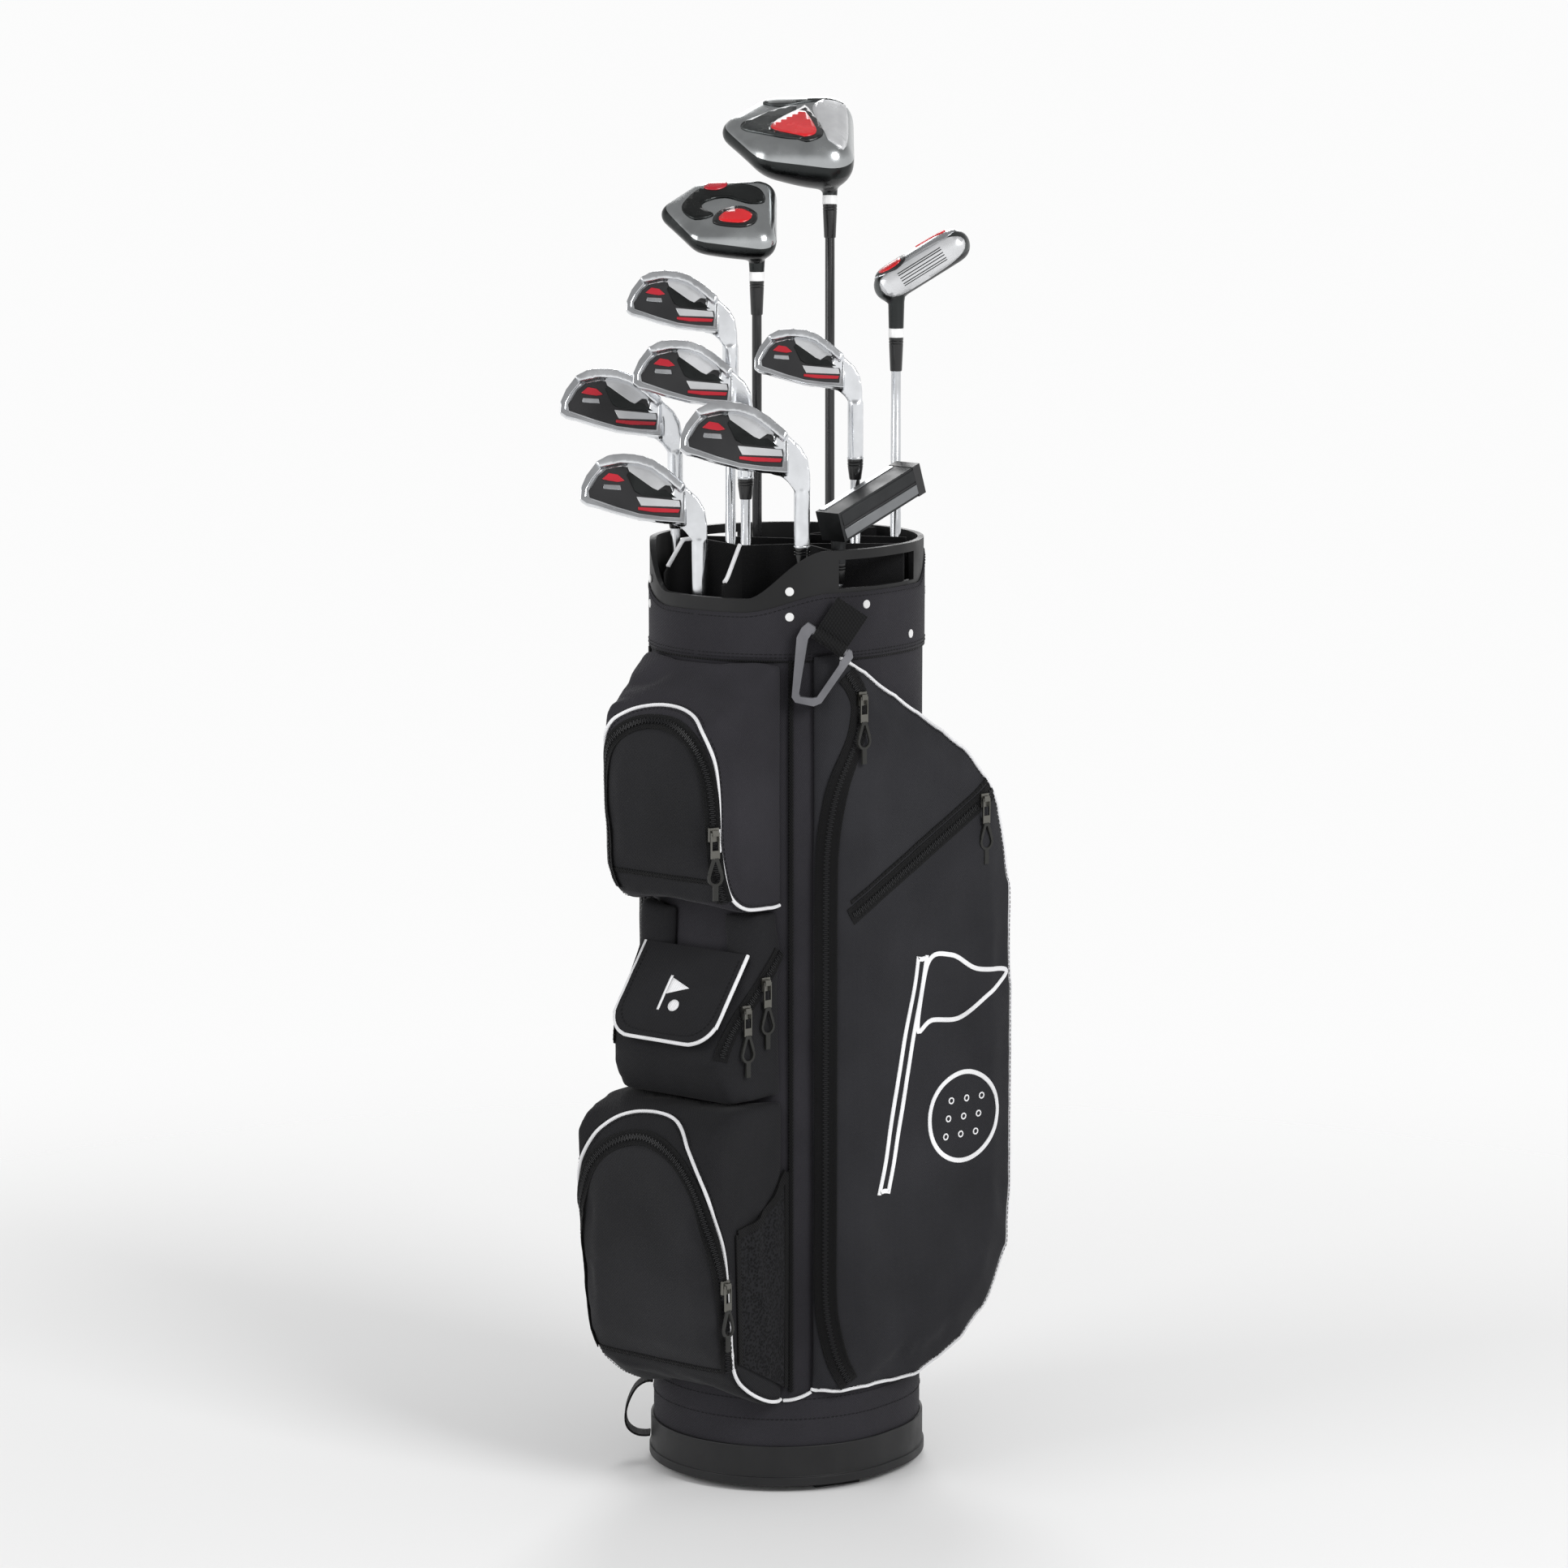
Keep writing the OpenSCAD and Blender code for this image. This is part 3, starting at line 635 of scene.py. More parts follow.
def remeshed(node, name, voxel, rounds):
    """The CAD node's mesh rebuilt in even voxels and smoothed, as an object that nothing rides on yet."""
    mesh = copy_of(node, name)
    obj = bpy.data.objects.new(name, mesh)
    bpy.context.scene.collection.objects.link(obj)
    grid = obj.modifiers.new("grid", "REMESH")
    grid.mode = "VOXEL"
    grid.voxel_size = voxel
    even = obj.modifiers.new("even", "SMOOTH")
    even.factor = 0.6
    even.iterations = rounds
    apply_modifiers(obj)
    return obj


def apply_modifiers(obj):
    graph = bpy.context.evaluated_depsgraph_get()
    mesh = bpy.data.meshes.new_from_object(obj.evaluated_get(graph))
    obj.modifiers.clear()
    old = obj.data
    obj.data = mesh
    mesh.name = obj.name
    bpy.data.meshes.remove(old)


# ---------- sewn goods ----------

# Grid size of the cloth, and the radius round the bag's axis that it never goes inside
CLOTH_CELL = 0.006
TUBE_SKIN = 0.1165


def inflate(obj, pressure=3.5, frames=16):
    """Cloth under pressure, with its result applied to the mesh."""
    scene = bpy.context.scene
    cloth = obj.modifiers.new("cloth", "CLOTH")
    cloth.settings.use_pressure = True
    cloth.settings.uniform_pressure_force = pressure
    cloth.settings.effector_weights.gravity = 0
    cloth.settings.tension_stiffness = 30
    cloth.settings.bending_stiffness = 2
    cloth.point_cache.frame_start = 1
    cloth.point_cache.frame_end = frames
    for step in range(1, frames + 1):
        scene.frame_set(step)
    apply_modifiers(obj)
    scene.frame_set(1)


def sewn_bag(node, name, material, seams, body="bag", swell=0.006, pull=0.02, wrinkle=0.0009, rounds=4,
             blend_top=None, flat_right=None):
    """A pocket as a filled cloth shell: it swells between its seams and creases beside them.

    Above blend_top it runs into the tube, and on its right it goes no further than flat_right.
    """
    obj = remeshed(node, name, CLOTH_CELL, rounds)
    rest = [v.co.copy() for v in obj.data.vertices]
    inflate(obj)
    dense = [p for points in seams for p in curve_through(points, CLOTH_CELL)]
    for vert, start in zip(obj.data.vertices, rest):
        near = min((start - p).length_squared for p in dense) ** 0.5
        free = min(1, near / pull) ** 1.5
        move = vert.co - start
        if move.length > swell:
            move *= swell / move.length
        place = start + move * free
        folds = noise.noise(Vector((start.x, start.y, start.z * 0.55)) * 34)
        crease = noise.noise(Vector((start.x + start.z, start.y - start.z, start.z)) * 85)
        out = Vector((start.x, start.y, 0)).normalized()
        place += out * (folds * 2.2 * wrinkle * free + crease * 0.55 * wrinkle * (1.3 - free))
        centre = Vector((0, max(-0.008, min(0.008, place.y)), place.z))
        radial = place - centre
        if radial.length < TUBE_SKIN:
            place = centre + radial.normalized() * TUBE_SKIN
        if blend_top and place.z > blend_top - 0.04:
            limit = TUBE_SKIN + 0.0012 + 1.15 * max(0, blend_top - place.z)
            place = centre + radial.normalized() * min(max(TUBE_SKIN, radial.length), limit)
        if flat_right:
            place.x = min(place.x, flat_right)
        vert.co = place
    obj.data.update()
    smooth = obj.modifiers.new("smooth", "SUBSURF")
    smooth.levels = smooth.render_levels = 1
    apply_modifiers(obj)
    obj.data.materials.clear()
    obj.data.materials.append(FINISHES[material])
    obj.data.shade_smooth()
    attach(obj, body)
    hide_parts(node)
    return obj


def oval_point(bearing, height, radius):
    """A point of the bag's oval. Bearing 0 is the front and 90 the right, and radius is in millimetres."""
    turn = math.radians(bearing)
    shift = -8 if math.cos(turn) > 0 else 8
    blend = min(1, abs(math.cos(turn)) / 0.02)
    return mm(radius * math.sin(turn), shift * blend - radius * math.cos(turn), height)


def oval_shell(name, low, high, radius, material, thick, wrinkle, columns=180, step=6, edge=None):
    """A cloth wall round the oval between two heights, waving a little, with a real thickness."""
    verts, faces = [], []
    for i in range(columns):
        bearing = 360 * i / columns
        top = edge(bearing) if edge else high
        rows = max(2, round((high - low) / step))
        for k in range(rows + 1):
            height = low + (top - low) * k / rows
            free = math.sin(math.pi * k / rows)
            place = oval_point(bearing, height, radius)
            wave = noise.noise(place * 14) + 0.4 * noise.noise(place * 45)
            verts.append(oval_point(bearing, height, radius + wrinkle * wave * free))
    rows = max(2, round((high - low) / step)) + 1
    for i in range(columns):
        for k in range(rows - 1):
            here, there = i * rows, (i + 1) % columns * rows
            faces.append((here + k, there + k, there + k + 1, here + k + 1))
    obj = make(name, [(verts, faces)], material, "bag")
    solid = obj.modifiers.new("thickness", "SOLIDIFY")
    solid.thickness = thick * MM
    solid.offset = -1
    return obj


# ---------- the bag's body ----------

def mirror_image(point):
    return Vector((-point.x, point.y, point.z))


def mirrored(points):
    """The points and then their mirror images, as one line from one side to the other."""
    return points + [mirror_image(p) for p in reversed(points) if p.x > MM]


def ramp(value, start, end, low, high):
    share = min(1, max(0, (value - start) / (end - start)))
    return low + (high - low) * share * share * (3 - 2 * share)


def collar_edge(bearing):
    """Height of the top edge of the cloth that covers the collar."""
    side = min(bearing, 360 - bearing)
    return ramp(side, 20, 60, 783, 799.5) if side < 90 else ramp(side, 108, 132, 799.5, 824)


def outward(points):
    """The points with normals that face away from the bag's axis."""
    return [(p, Vector((p.x, p.y, 0)).normalized()) for p in points]


def make_body():
    """The cloth tube, its seams, and the moulded parts at its two ends."""
    tube = oval_shell("tube_cloth", 13.5, 767.5, 115.2, "body_cloth", 2.6, 0.7)
    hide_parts("body_tube")
    surface = surface_of(tube)
    oval_shell("collar_cloth", 741, 783, 117.0, "body_cloth", 0.8, 0.25, edge=collar_edge)
    ring = outward(oval_point(3 * i, 741.5, 116.2) for i in range(120))
    make("collar_seam", [sweep(ring, circle(0.0011, 6), True)], "binding_cloth", "bag")
    sewn = []
    for height in (744.5, 747.5):
        sewn += stitches(outward(oval_point(2 * i, height, 117.1) for i in range(181)))
    edge_row = [oval_point(2 * i, collar_edge(2 * i % 360) - 3.5, 117.1) for i in range(181)]
    sewn += stitches(outward(edge_row))
    make("collar_stitches", sewn, "dark_thread", "bag")
    for bearing in (150, 180, 210):
        points = [oval_point(bearing, height, 115.4) for height in range(48, 741, 30)]
        seam(f"back_seam_{bearing}", points, surface)
    for height in (66, 84):
        hem = [oval_point(4 * i, height, 115.4) for i in range(91)]
        sewn = stitches(laid(hem, surface, 0.0002))
        make(f"base_hem_{height}", sewn, "dark_thread", "bag")
    softened("top_collar", "mouth_black", "bag", 0.0009)
    softened("base_cup", "moulded_black", "bag", 0.0022, 3)
    softened("base_feet", "foot_rubber", "bag", 0.0016)
    # The studs are metal; their white enamel is a painted highlight standing in for their glints
    softened("collar_rivets", "rivet_white", "bag", 0.0005)
    softened("towel_ring", "ring_grey", "ring", 0.0012, 3)
    softened("ring_strap", "black_webbing", "bag", 0.0006)
    make_base_loop()
    softened("club_dividers", "divider_cloth", "bag", 0.0007)
    softened("floor_pad", "foam", "bag", 0.004, 3)


def make_base_loop():
    """A carrying loop of webbing sewn to the foot of the tube and tucked into the base."""
    bearing = -52
    route = [(0.8, 71), (7, 71), (16, 65), (23, 52), (26, 38), (24, 28), (17, 22), (9, 20.5), (3.6, 21)]
    points = [oval_point(bearing, height, 115 + out) for out, height in route]
    side = (oval_point(bearing + 4, 40, 115) - oval_point(bearing - 4, 40, 115)).normalized()
    line = upright(curve_through(points, 0.003), side)
    band = [(-0.0009, -0.0095), (0.0009, -0.0095), (0.0009, 0.0095), (-0.0009, 0.0095)]
    loop = make("base_loop_webbing", [sweep(line, band)], "black_webbing", "bag")
    bevelled(loop, 0.0003, 1)
    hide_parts("base_loop")


DISH = [(-0.125, 799), (-0.103, 809), (-0.076, 835), (0.125, 835)]
EDGED_WALLS = [((-104, -43), (-78, -6)), ((-54, -96), (-41, -64))]


def dish_height(y):
    """Height of the dividers' dished top, which falls toward the front."""
    for (a, low), (b, high) in zip(DISH, DISH[1:]):
        if y <= b:
            return low + (high - low) * (y - a) / (b - a)
    return DISH[-1][1]


def make_divider_edges():
    """White edging on the two front walls, over their dished tops and a little way down inside."""
    for number, (start, end) in enumerate(EDGED_WALLS):
        points = []
        for i in range(9):
            place = FAN @ mm(*[a + (b - a) * i / 8 for a, b in zip(start, end)], 0)
            points.append(place + mm(0, 0, dish_height(place.y) + 0.6))
        line = upright(curve_through(points, 0.003), Vector((0, 0, 1)))
        make(f"divider_edging_{number}", [sweep(line, circle(0.0019))], "white_piping", "bag")


# ---------- pockets ----------

# Paths of the piping and the zips over the front pockets' right halves, from their lower ends up
UPPER_ARCH = [
    (75.5, -97, 526), (71, -125, 526), (67.5, -146, 530), (64.5, -160, 541), (63, -168, 562),
    (62.3, -173, 592), (62, -174, 630), (60, -177, 662), (52, -181, 685), (40, -176, 697),
    (22, -169, 703), (0, -166, 705)
]
UPPER_ZIP = [
    (61.5, -166, 536), (60.8, -174, 560), (60.2, -179, 590), (60, -181, 625), (57, -184, 652),
    (48, -185, 672), (34, -183, 684), (18, -180, 690), (0, -179, 692)
]
LOWER_ARCH = [
    (75.5, -97, 84), (75.8, -118, 86), (76.2, -142, 97), (76.6, -160, 109), (77, -172, 124),
    (77, -177, 150), (77, -182, 200), (77, -188, 240), (75, -199, 270), (70, -204, 294),
    (61, -206, 314), (49, -201, 330), (36, -193, 341), (20, -186, 348), (0, -183, 350)
]
LOWER_ZIP = [
    (76.5, -179, 127), (76.8, -182, 146), (77.2, -188, 196), (76.4, -195, 228), (72, -204, 258),
    (64, -207, 284), (52, -206, 305), (36, -205, 319), (18, -203, 327), (0, -202, 330)
]
MIDDLE_ZIP = [(73.8, -104, 488), (70.8, -123, 464), (66.5, -145, 440), (63, -164, 417), (61.5, -171, 400)]


def faced(obj, outline, front, material):
    """Faces of a pocket's front panel, inside an outline seen from the front, take a darker cloth."""
    obj.data.materials.append(FINISHES[material])
    edge = [(p.x, p.z) for p in curve_through(outline, 0.01)]
    for face in obj.data.polygons:
        x, y, z = face.center
        inside = False
        for (ax, az), (bx, bz) in zip(edge, edge[1:] + edge[:1]):
            if (az > z) != (bz > z) and x < ax + (bx - ax) * (z - az) / (bz - az):
                inside = not inside
        if inside and y < front:
            face.material_index = 1


def points_mm(rows):
    return [mm(*row) for row in rows]


def side_seam(x, low, high):
    return [mm(x, -97, low + (high - low) * i / 6) for i in range(7)]


def make_upper_pocket():
    """The upper pocket with its piped arch, its zip, and a fold across its foot."""
    arch, track = mirrored(points_mm(UPPER_ARCH)), mirrored(points_mm(UPPER_ZIP))
    fold = mirrored([mm(57, -174, 556), mm(30, -174, 556), mm(0, -174, 556)])
    sides = [side_seam(75, 526, 740), side_seam(-75, 526, 740)]
    top = mirrored([mm(75, -100, 741), mm(60, -119, 741), mm(0, -125, 741)])
    pocket = sewn_bag("upper_pocket", "upper_pocket_cloth", "body_cloth", [arch, track, fold, top, *sides],
                      blend_top=0.744)
    faced(pocket, track, -0.14, "face_cloth")
    surface = surface_of(pocket)
    piping("upper_pocket_piping", arch, surface)
    zip_run("upper_zip", track, surface, width=0.014)
    seam("upper_pocket_fold", fold, surface, width=0.005)


def make_lower_pocket():
    """The lower pocket, which is flat on the right where the mesh pocket lies on it."""
    arch, track = mirrored(points_mm(LOWER_ARCH)), mirrored(points_mm(LOWER_ZIP))
    fold = mirrored([mm(72, -182, 126), mm(40, -180, 126), mm(0, -180, 126)])
    sides = [side_seam(75, 90, 350), side_seam(-75, 90, 350)]
    pocket = sewn_bag("lower_pocket", "lower_pocket_cloth", "low_cloth", [arch, track, fold, *sides],
                      flat_right=0.0775)
    faced(pocket, track, -0.15, "low_face_cloth")
    surface = surface_of(pocket)
    piping("lower_pocket_piping", arch, surface)
    zip_run("lower_zip", track, surface, width=0.014)
    seam("lower_pocket_fold", fold, surface, width=0.005)


def make_middle_pocket():
    """The middle pocket, whose two zips slant down its sides from under the flap."""
    track = points_mm(MIDDLE_ZIP)
    other = [mirror_image(p) for p in track]
    front = mirrored([mm(60, -168, 424), mm(30, -168, 424), mm(0, -168, 424)])
    low = mirrored([mm(62, -158, 360), mm(0, -158, 360)])
    pocket = sewn_bag("middle_pocket", "middle_pocket_cloth", "gusset_cloth", [track, other, front, low],
                      swell=0.004)
    surface = surface_of(pocket)
    zip_run("middle_zip", track, surface, width=0.014)
    zip_run("middle_zip_left", other, surface, width=0.014)


def sheet_faces(rows, columns):
    """Faces of a sheet whose points are two grids, one behind the other, joined round their edges."""
    row, size = columns + 1, (rows + 1) * (columns + 1)
    faces = []
    for layer in (0, 1):
        for i in range(rows):
            for k in range(columns):
                a = layer * size + i * row + k
                faces.append((a, a + 1, a + 1 + row, a + row))
    rim = list(range(columns)) + [columns + i * row for i in range(rows)]
    rim += [rows * row + columns - k for k in range(columns)] + [(rows - i) * row for i in range(rows)]
    for a, b in zip(rim, rim[1:] + rim[:1]):
        faces.append((a, b, size + b, size + a))
    return faces


FLAP_HINGE = mm(0, -127.5, 486)
FLAP_SLOPE = math.radians(52)


def flap_place():
    return Matrix.Translation(FLAP_HINGE) @ Matrix.Rotation(FLAP_SLOPE, 4, "X")


def make_flap():
    """A lined flap that bows a little between its piped edges, with a small flag sewn on it."""
    half, length, corner, rows, columns = 0.057, 0.092, 0.026, 24, 28
    place = flap_place()
    verts = []
    for low in (0, 1):
        for i in range(rows + 1):
            down = -length * i / rows
            cut = max(0, corner - (length + down))
            wide = half - corner + math.sqrt(max(0, corner ** 2 - cut ** 2))
            for k in range(columns + 1):
                x = wide * (2 * k / columns - 1)
                bow = 0.0022 * math.sin(math.pi * i / rows) * (1 - (x / half) ** 2)
                ripple = 0.0005 * noise.noise(Vector((x * 40, down * 40, 3)))
                height = bow + ripple + (0.0011 if low == 0 else -0.0011)
                verts.append(place @ Vector((x, down, height)))
    flap = make("flap_cloth", [(verts, sheet_faces(rows, columns))], "face_cloth", "flap")
    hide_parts("pocket_flap")
    edge = [Vector((half, 0, 0)), Vector((half, corner - length, 0))]
    edge += [Vector((half - corner + corner * math.cos(a), corner - length - corner * math.sin(a), 0))
             for a in (TAU / 24 * n for n in range(1, 6))]
    edge += [Vector((half - corner, -length, 0)), Vector((0, -length, 0))]
    rim_points = [place @ p for p in mirrored(edge)]
    line = upright(curve_through(rim_points, 0.003), place.to_3x3() @ Vector((0, 0, 1)))
    make("flap_piping", [sweep(line, circle(0.0017))], "white_piping", "flap")
    surface = surface_of(flap)
    inner = [place @ Vector((p.x * 0.9, min(-0.007, p.y * 0.93), 0.004)) for p in mirrored(edge)]
    make("flap_stitches", stitches(laid(curve_through(inner), surface, 0.0002)), "dark_thread", "flap")
    mark = place @ Matrix.Translation((-0.006, -0.05, 0))
    flag = points_2d([(-2, 17), (20, 9), (-2, 1)])
    pole = points_2d([(-5, 19), (-2.6, 19), (-2.6, -15), (-5, -15)])
    ball = [(0.011 + 0.0055 * math.cos(TAU * i / 20), -0.009 + 0.0055 * math.sin(TAU * i / 20))
            for i in range(20)]
    for name, outline in (("flag", flag), ("pole", pole), ("ball", ball)):
        patch(f"flap_{name}", outline, mark, surface, "white_print", "flap", 0.0002, 0.0006)


def points_2d(rows):
    return [(x * MM, y * MM) for x, y in rows]


def make_mesh_pocket():
    """A gathered mesh pocket whose slanted top is drawn in by its elastic."""
    low_front, low_back, top_front, top_back = (mm(84, -166, 132), mm(83, -101, 97), mm(84, -170, 249),
                                                mm(82, -99, 291))
    verts, rows, columns = [], 30, 40
    for depth in (0, 1):
        for i in range(rows + 1):
            t = i / rows
            for k in range(columns + 1):
                s = k / columns
                p = low_front.lerp(low_back, s).lerp(top_front.lerp(top_back, s), t)
                p.z -= 0.011 * math.sin(math.pi * s) * t
                belly = math.sin(math.pi * s) * (0.35 + 0.65 * math.sin(math.pi * (1 - t) ** 0.8))
                folds = math.sin(s * 15 + 2.6 * t + 3 * noise.noise(Vector((s * 3, t * 2, 1))))
                gather = 0.0019 * folds * (0.1 + 0.9 * t * t) * math.sin(math.pi * s)
                verts.append(Vector((p.x - 0.0055 + 0.0055 * belly + gather - 0.0009 * depth, p.y, p.z)))
    net = make("mesh_pocket_net", [(verts, sheet_faces(rows, columns))], "mesh_cloth", "bag")
    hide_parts("mesh_pocket")
    hem = verts[rows * (columns + 1):(rows + 1) * (columns + 1)]
    line = upright(hem, Vector((1, 0, 0)))
    band = [(-0.001, -0.004), (0.0013, -0.004), (0.0016, 0.0035), (-0.001, 0.0035)]
    profile = [(y, x) for x, y in band]
    make("mesh_pocket_elastic", [sweep(line, profile)], "binding_cloth", "bag")
    for name, column in (("front", 0), ("back", columns)):
        edge = [verts[i * (columns + 1) + column] for i in range(rows + 1)]
        line = upright(edge, Vector((1, 0, 0)))
        make(f"mesh_pocket_binding_{name}", [sweep(line, strip(0.006, 0.0012))], "binding_cloth", "bag")


PANEL_TURN = math.radians(78)
LEFT_DROP = 60


def panel_point(along, height, side=1, out=0.0):
    """A point on the side pocket's outer panel: along it from its front edge, and its height, in mm."""
    x = 115 + along * math.cos(PANEL_TURN) + out * math.sin(PANEL_TURN)
    y = -67 + along * math.sin(PANEL_TURN) - out * math.cos(PANEL_TURN)
    return mm(side * x, y, height)


def make_side_pocket(name, node, side, drop):
    """A side pocket with its piped outline, its long zip, a slanted welt pocket and an outline emblem."""
    front = 750 - drop
    outline = [(0, front - 2), (50, front - 34), (95, front - 64), (150, front - 102), (180, front - 142),
               (194, 560 - drop / 2), (202, 420), (203, 250), (195, 180), (175, 145), (135, 109), (88, 89),
               (40, 85), (2, 87)]
    rim = [panel_point(s, z, side, -2) for s, z in outline]
    rim += [mm(side * 105, -75, 87), mm(side * 93, -84, 87.5), mm(side * 81, -92, 88)]
    long_zip = [panel_point(4, front - 20, side), panel_point(17.6, front - 42, side),
                panel_point(14, front - 75, side), mm(side * 111, -69, front - 115),
                mm(side * 104, -75, front - 165), mm(side * 102.5, -76, front - 220)]
    long_zip += [mm(side * 102.5, -76, front - 220 - (front - 400) * i / 4) for i in range(1, 5)]
    long_zip += [mm(side * 105, -74, 150), mm(side * 111, -69, 118), panel_point(8, 98, side)]
    welt = [panel_point(s, 604 - drop / 2 - 86 * (161 - s) / 150, side) for s in (176, 161, 120, 80, 40, 8)]
    corner = [mm(side * 79, -94, 100 + (front - 110) * i / 8) for i in range(9)]
    pocket = sewn_bag(node, name + "_cloth", "side_cloth", [rim, long_zip, welt, corner], swell=0.005,
                      pull=0.03, rounds=18)
    surface = surface_of(pocket)
    piping(name + "_piping", rim, surface)
    zip_run(name + "_long_zip", long_zip, surface, width=0.020)
    zip_run(name + "_welt_zip", welt, surface, width=0.016)
    above = [p + Vector((0, 0, 0.0135)) for p in welt]
    seam(name + "_welt_seam", above, surface, width=0.004)
    make_emblem(name, surface, side)


def make_emblem(name, surface, side):
    """A plain outlined golf flag and ball, drawn in white tape."""
    pole = [(38, 268), (48, 268), (92, 470), (82, 470)]
    flag = [(94, 466), (120, 470), (150, 454), (192, 446), (160, 426), (130, 412), (98, 414), (82, 408)]
    ball = [(136 + 40 * math.cos(TAU * i / 24), 322 + 40 * math.sin(TAU * i / 24)) for i in range(24)]
    parts = []
    for shape, sharp in ((pole, True), (flag, False), (ball, False)):
        corners = [panel_point(s, z, side, 3) for s, z in shape]
        if sharp:
            edges = list(zip(corners, corners[1:] + corners[:1]))
            corners = [a.lerp(b, t) for a, b in edges for t in (0.03, 0.5, 0.97)]
        line = laid(curve_through(corners, 0.003, True), surface, 0.0002, 0)
        parts.append(sweep(line, strip(0.0042, 0.0008), True))
    for row in (-16, 0, 16):
        for column in (-18, 0, 18):
            along, height = 136 + column + row * 0.2, 322 + row
            turns = [TAU * i / 10 for i in range(10)]
            spot = [(along + 2.6 * math.cos(t), height + 2.6 * math.sin(t)) for t in turns]
            line = laid([panel_point(s, z, side, 3) for s, z in spot], surface, 0.0002, 0)
            parts.append(sweep(line, strip(0.0012, 0.0006), True))
    make(name + "_emblem", parts, "white_print", "bag")


def make_pulls():
    """Zip sliders and their pulls keep their CAD shape, with rounded edges and a bright metal tab."""
    for zipper in ("upper_zip", "lower_zip", "middle_zip_top", "middle_zip_low", "side_zip", "welt_zip"):
        base, _, end = zipper.partition("_zip")
        slider, pull = f"{base}_zip_slider{end}", f"{base}_zip_pull{end}"
        softened(slider, "zip_metal", zipper + "_slider", 0.0004)
        loop = softened(pull, "cord_rubber", zipper + "_pull", 0.0003)
        loop.data.materials.append(FINISHES["zip_metal"])
        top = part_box(pull)[1].z
        for face in loop.data.polygons:
            face.material_index = 1 if face.center.z > top - 0.0232 else 0


def make_corner_piping():
    """The white piping goes on over the tube from the lower pocket to each side pocket."""
    for hand, side in (("left", -1), ("right", 1)):
        points = [oval_point(side * (38.8 + 2.4 * i), 84 + 0.3 * i ** 2, 116.6 + 0.4 * i) for i in range(6)]
        line = upright(curve_through(points, 0.002), Vector((side, -1, 0)).normalized())
        make(f"corner_piping_{hand}", [sweep(line, circle(0.0016))], "white_piping", "bag")


def make_gusset_seams():
    """The bound seams where the front pockets meet the side pockets."""
    for hand, side in (("right", 1), ("left", -1)):
        points = [mm(side * 78.6, -95, 92 + (742 - 92) * i / 12) for i in range(13)]
        line = upright(curve_through(points, 0.008), Vector((side * 0.6, -0.8, 0)))
        profile = circle(0.0022, 8, 0.7)
        make(f"gusset_seam_{hand}", [sweep(line, profile)], "binding_cloth", "bag")


# ---------- clubs ----------

# The clubs stand in rows that are turned from the bag's front
FAN = Matrix.Rotation(math.radians(38), 4, "Z")
FLOOR = 70
GRIP_R = 13
# Each club: its place across the rows, its place back in them, and its lean in degrees
CLUBS = {
    "driver": (38.6, 9, 6), "fairway_wood": (-26.5, 30, 0), "hybrid": (96.5, 34, 0), "putter": (45, -74, 0),
    "six_iron": (-49.5, -14, 0), "seven_iron": (60, -16, 0), "eight_iron": (-36, -38, 0),
    "nine_iron": (-98.5, 11, 0), "pitching_wedge": (13, -95, 0), "sand_wedge": (-76, -69, 0)
}
# Each iron: the height of its neck and the size of its head
IRONS = {
    "six_iron": (1005, 0.86), "seven_iron": (956, 0.84), "eight_iron": (941, 0.93),
    "nine_iron": (910, 0.96), "pitching_wedge": (887, 1.0), "sand_wedge": (841, 0.98)
}
# Heights where the woods' ferrules end and their white bands begin
WOOD_BANDS = {"driver": 1126, "fairway_wood": 1059, "hybrid": 1009}
PUTTER_NECK = 843


def shift(x, y, z):
    return Matrix.Translation(mm(x, y, z))


def turned(degrees, axis):
    return Matrix.Rotation(math.radians(degrees), 4, axis)


def club_place(club):
    """From a club's own frame, upright over its butt with heights as in the bag's, to the bag's frame."""
    across_fan, back, lean = CLUBS[club]
    pivot = FLOOR + GRIP_R * math.sin(math.radians(lean))
    return FAN @ shift(across_fan, back, pivot) @ turned(-lean, "X") @ shift(0, 0, -FLOOR)


def turned_piece(name, club, rings, material, sides=32):
    """A turned part of a club from (height, radius) rings in millimetres."""
    parts = [lathe([(h * MM, r * MM) for h, r in rings], club_place(club), sides)]
    return make(name, parts, material, club)


def make_grip(club):
    """A grip that tapers in fine steps from its cap to the shaft, with a vent in the cap."""
    rings = [(FLOOR + 0.2, 0.5), (FLOOR + 0.2, 11.6), (FLOOR + 1.5, 12.8), (FLOOR + 5, 13)]
    rings += [(FLOOR + 5.4, 12.6), (FLOOR + 6.4, 12.6), (FLOOR + 7, 12.95)]
    for i in range(1, 30):
        ridge = 0.12 if i % 2 else -0.08
        rings.append((FLOOR + 6 + 253 * i / 30, 12.95 - 4.35 * i / 30 + ridge))
    rings += [(FLOOR + 259, 8.6), (FLOOR + 260, 8.1), (FLOOR + 261, 8.5), (FLOOR + 264.5, 8.4),
              (FLOOR + 265, 6.9)]
    grip = turned_piece(f"{club}_grip_rubber", club, rings, "grip_rubber", 36)
    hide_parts(f"{club}_grip")
    cap = [(FLOOR + 0.05, 0.3), (FLOOR + 0.05, 5), (FLOOR + 0.3, 5.2)]
    turned_piece(f"{club}_grip_vent", club, cap, "rivet_white", 20)


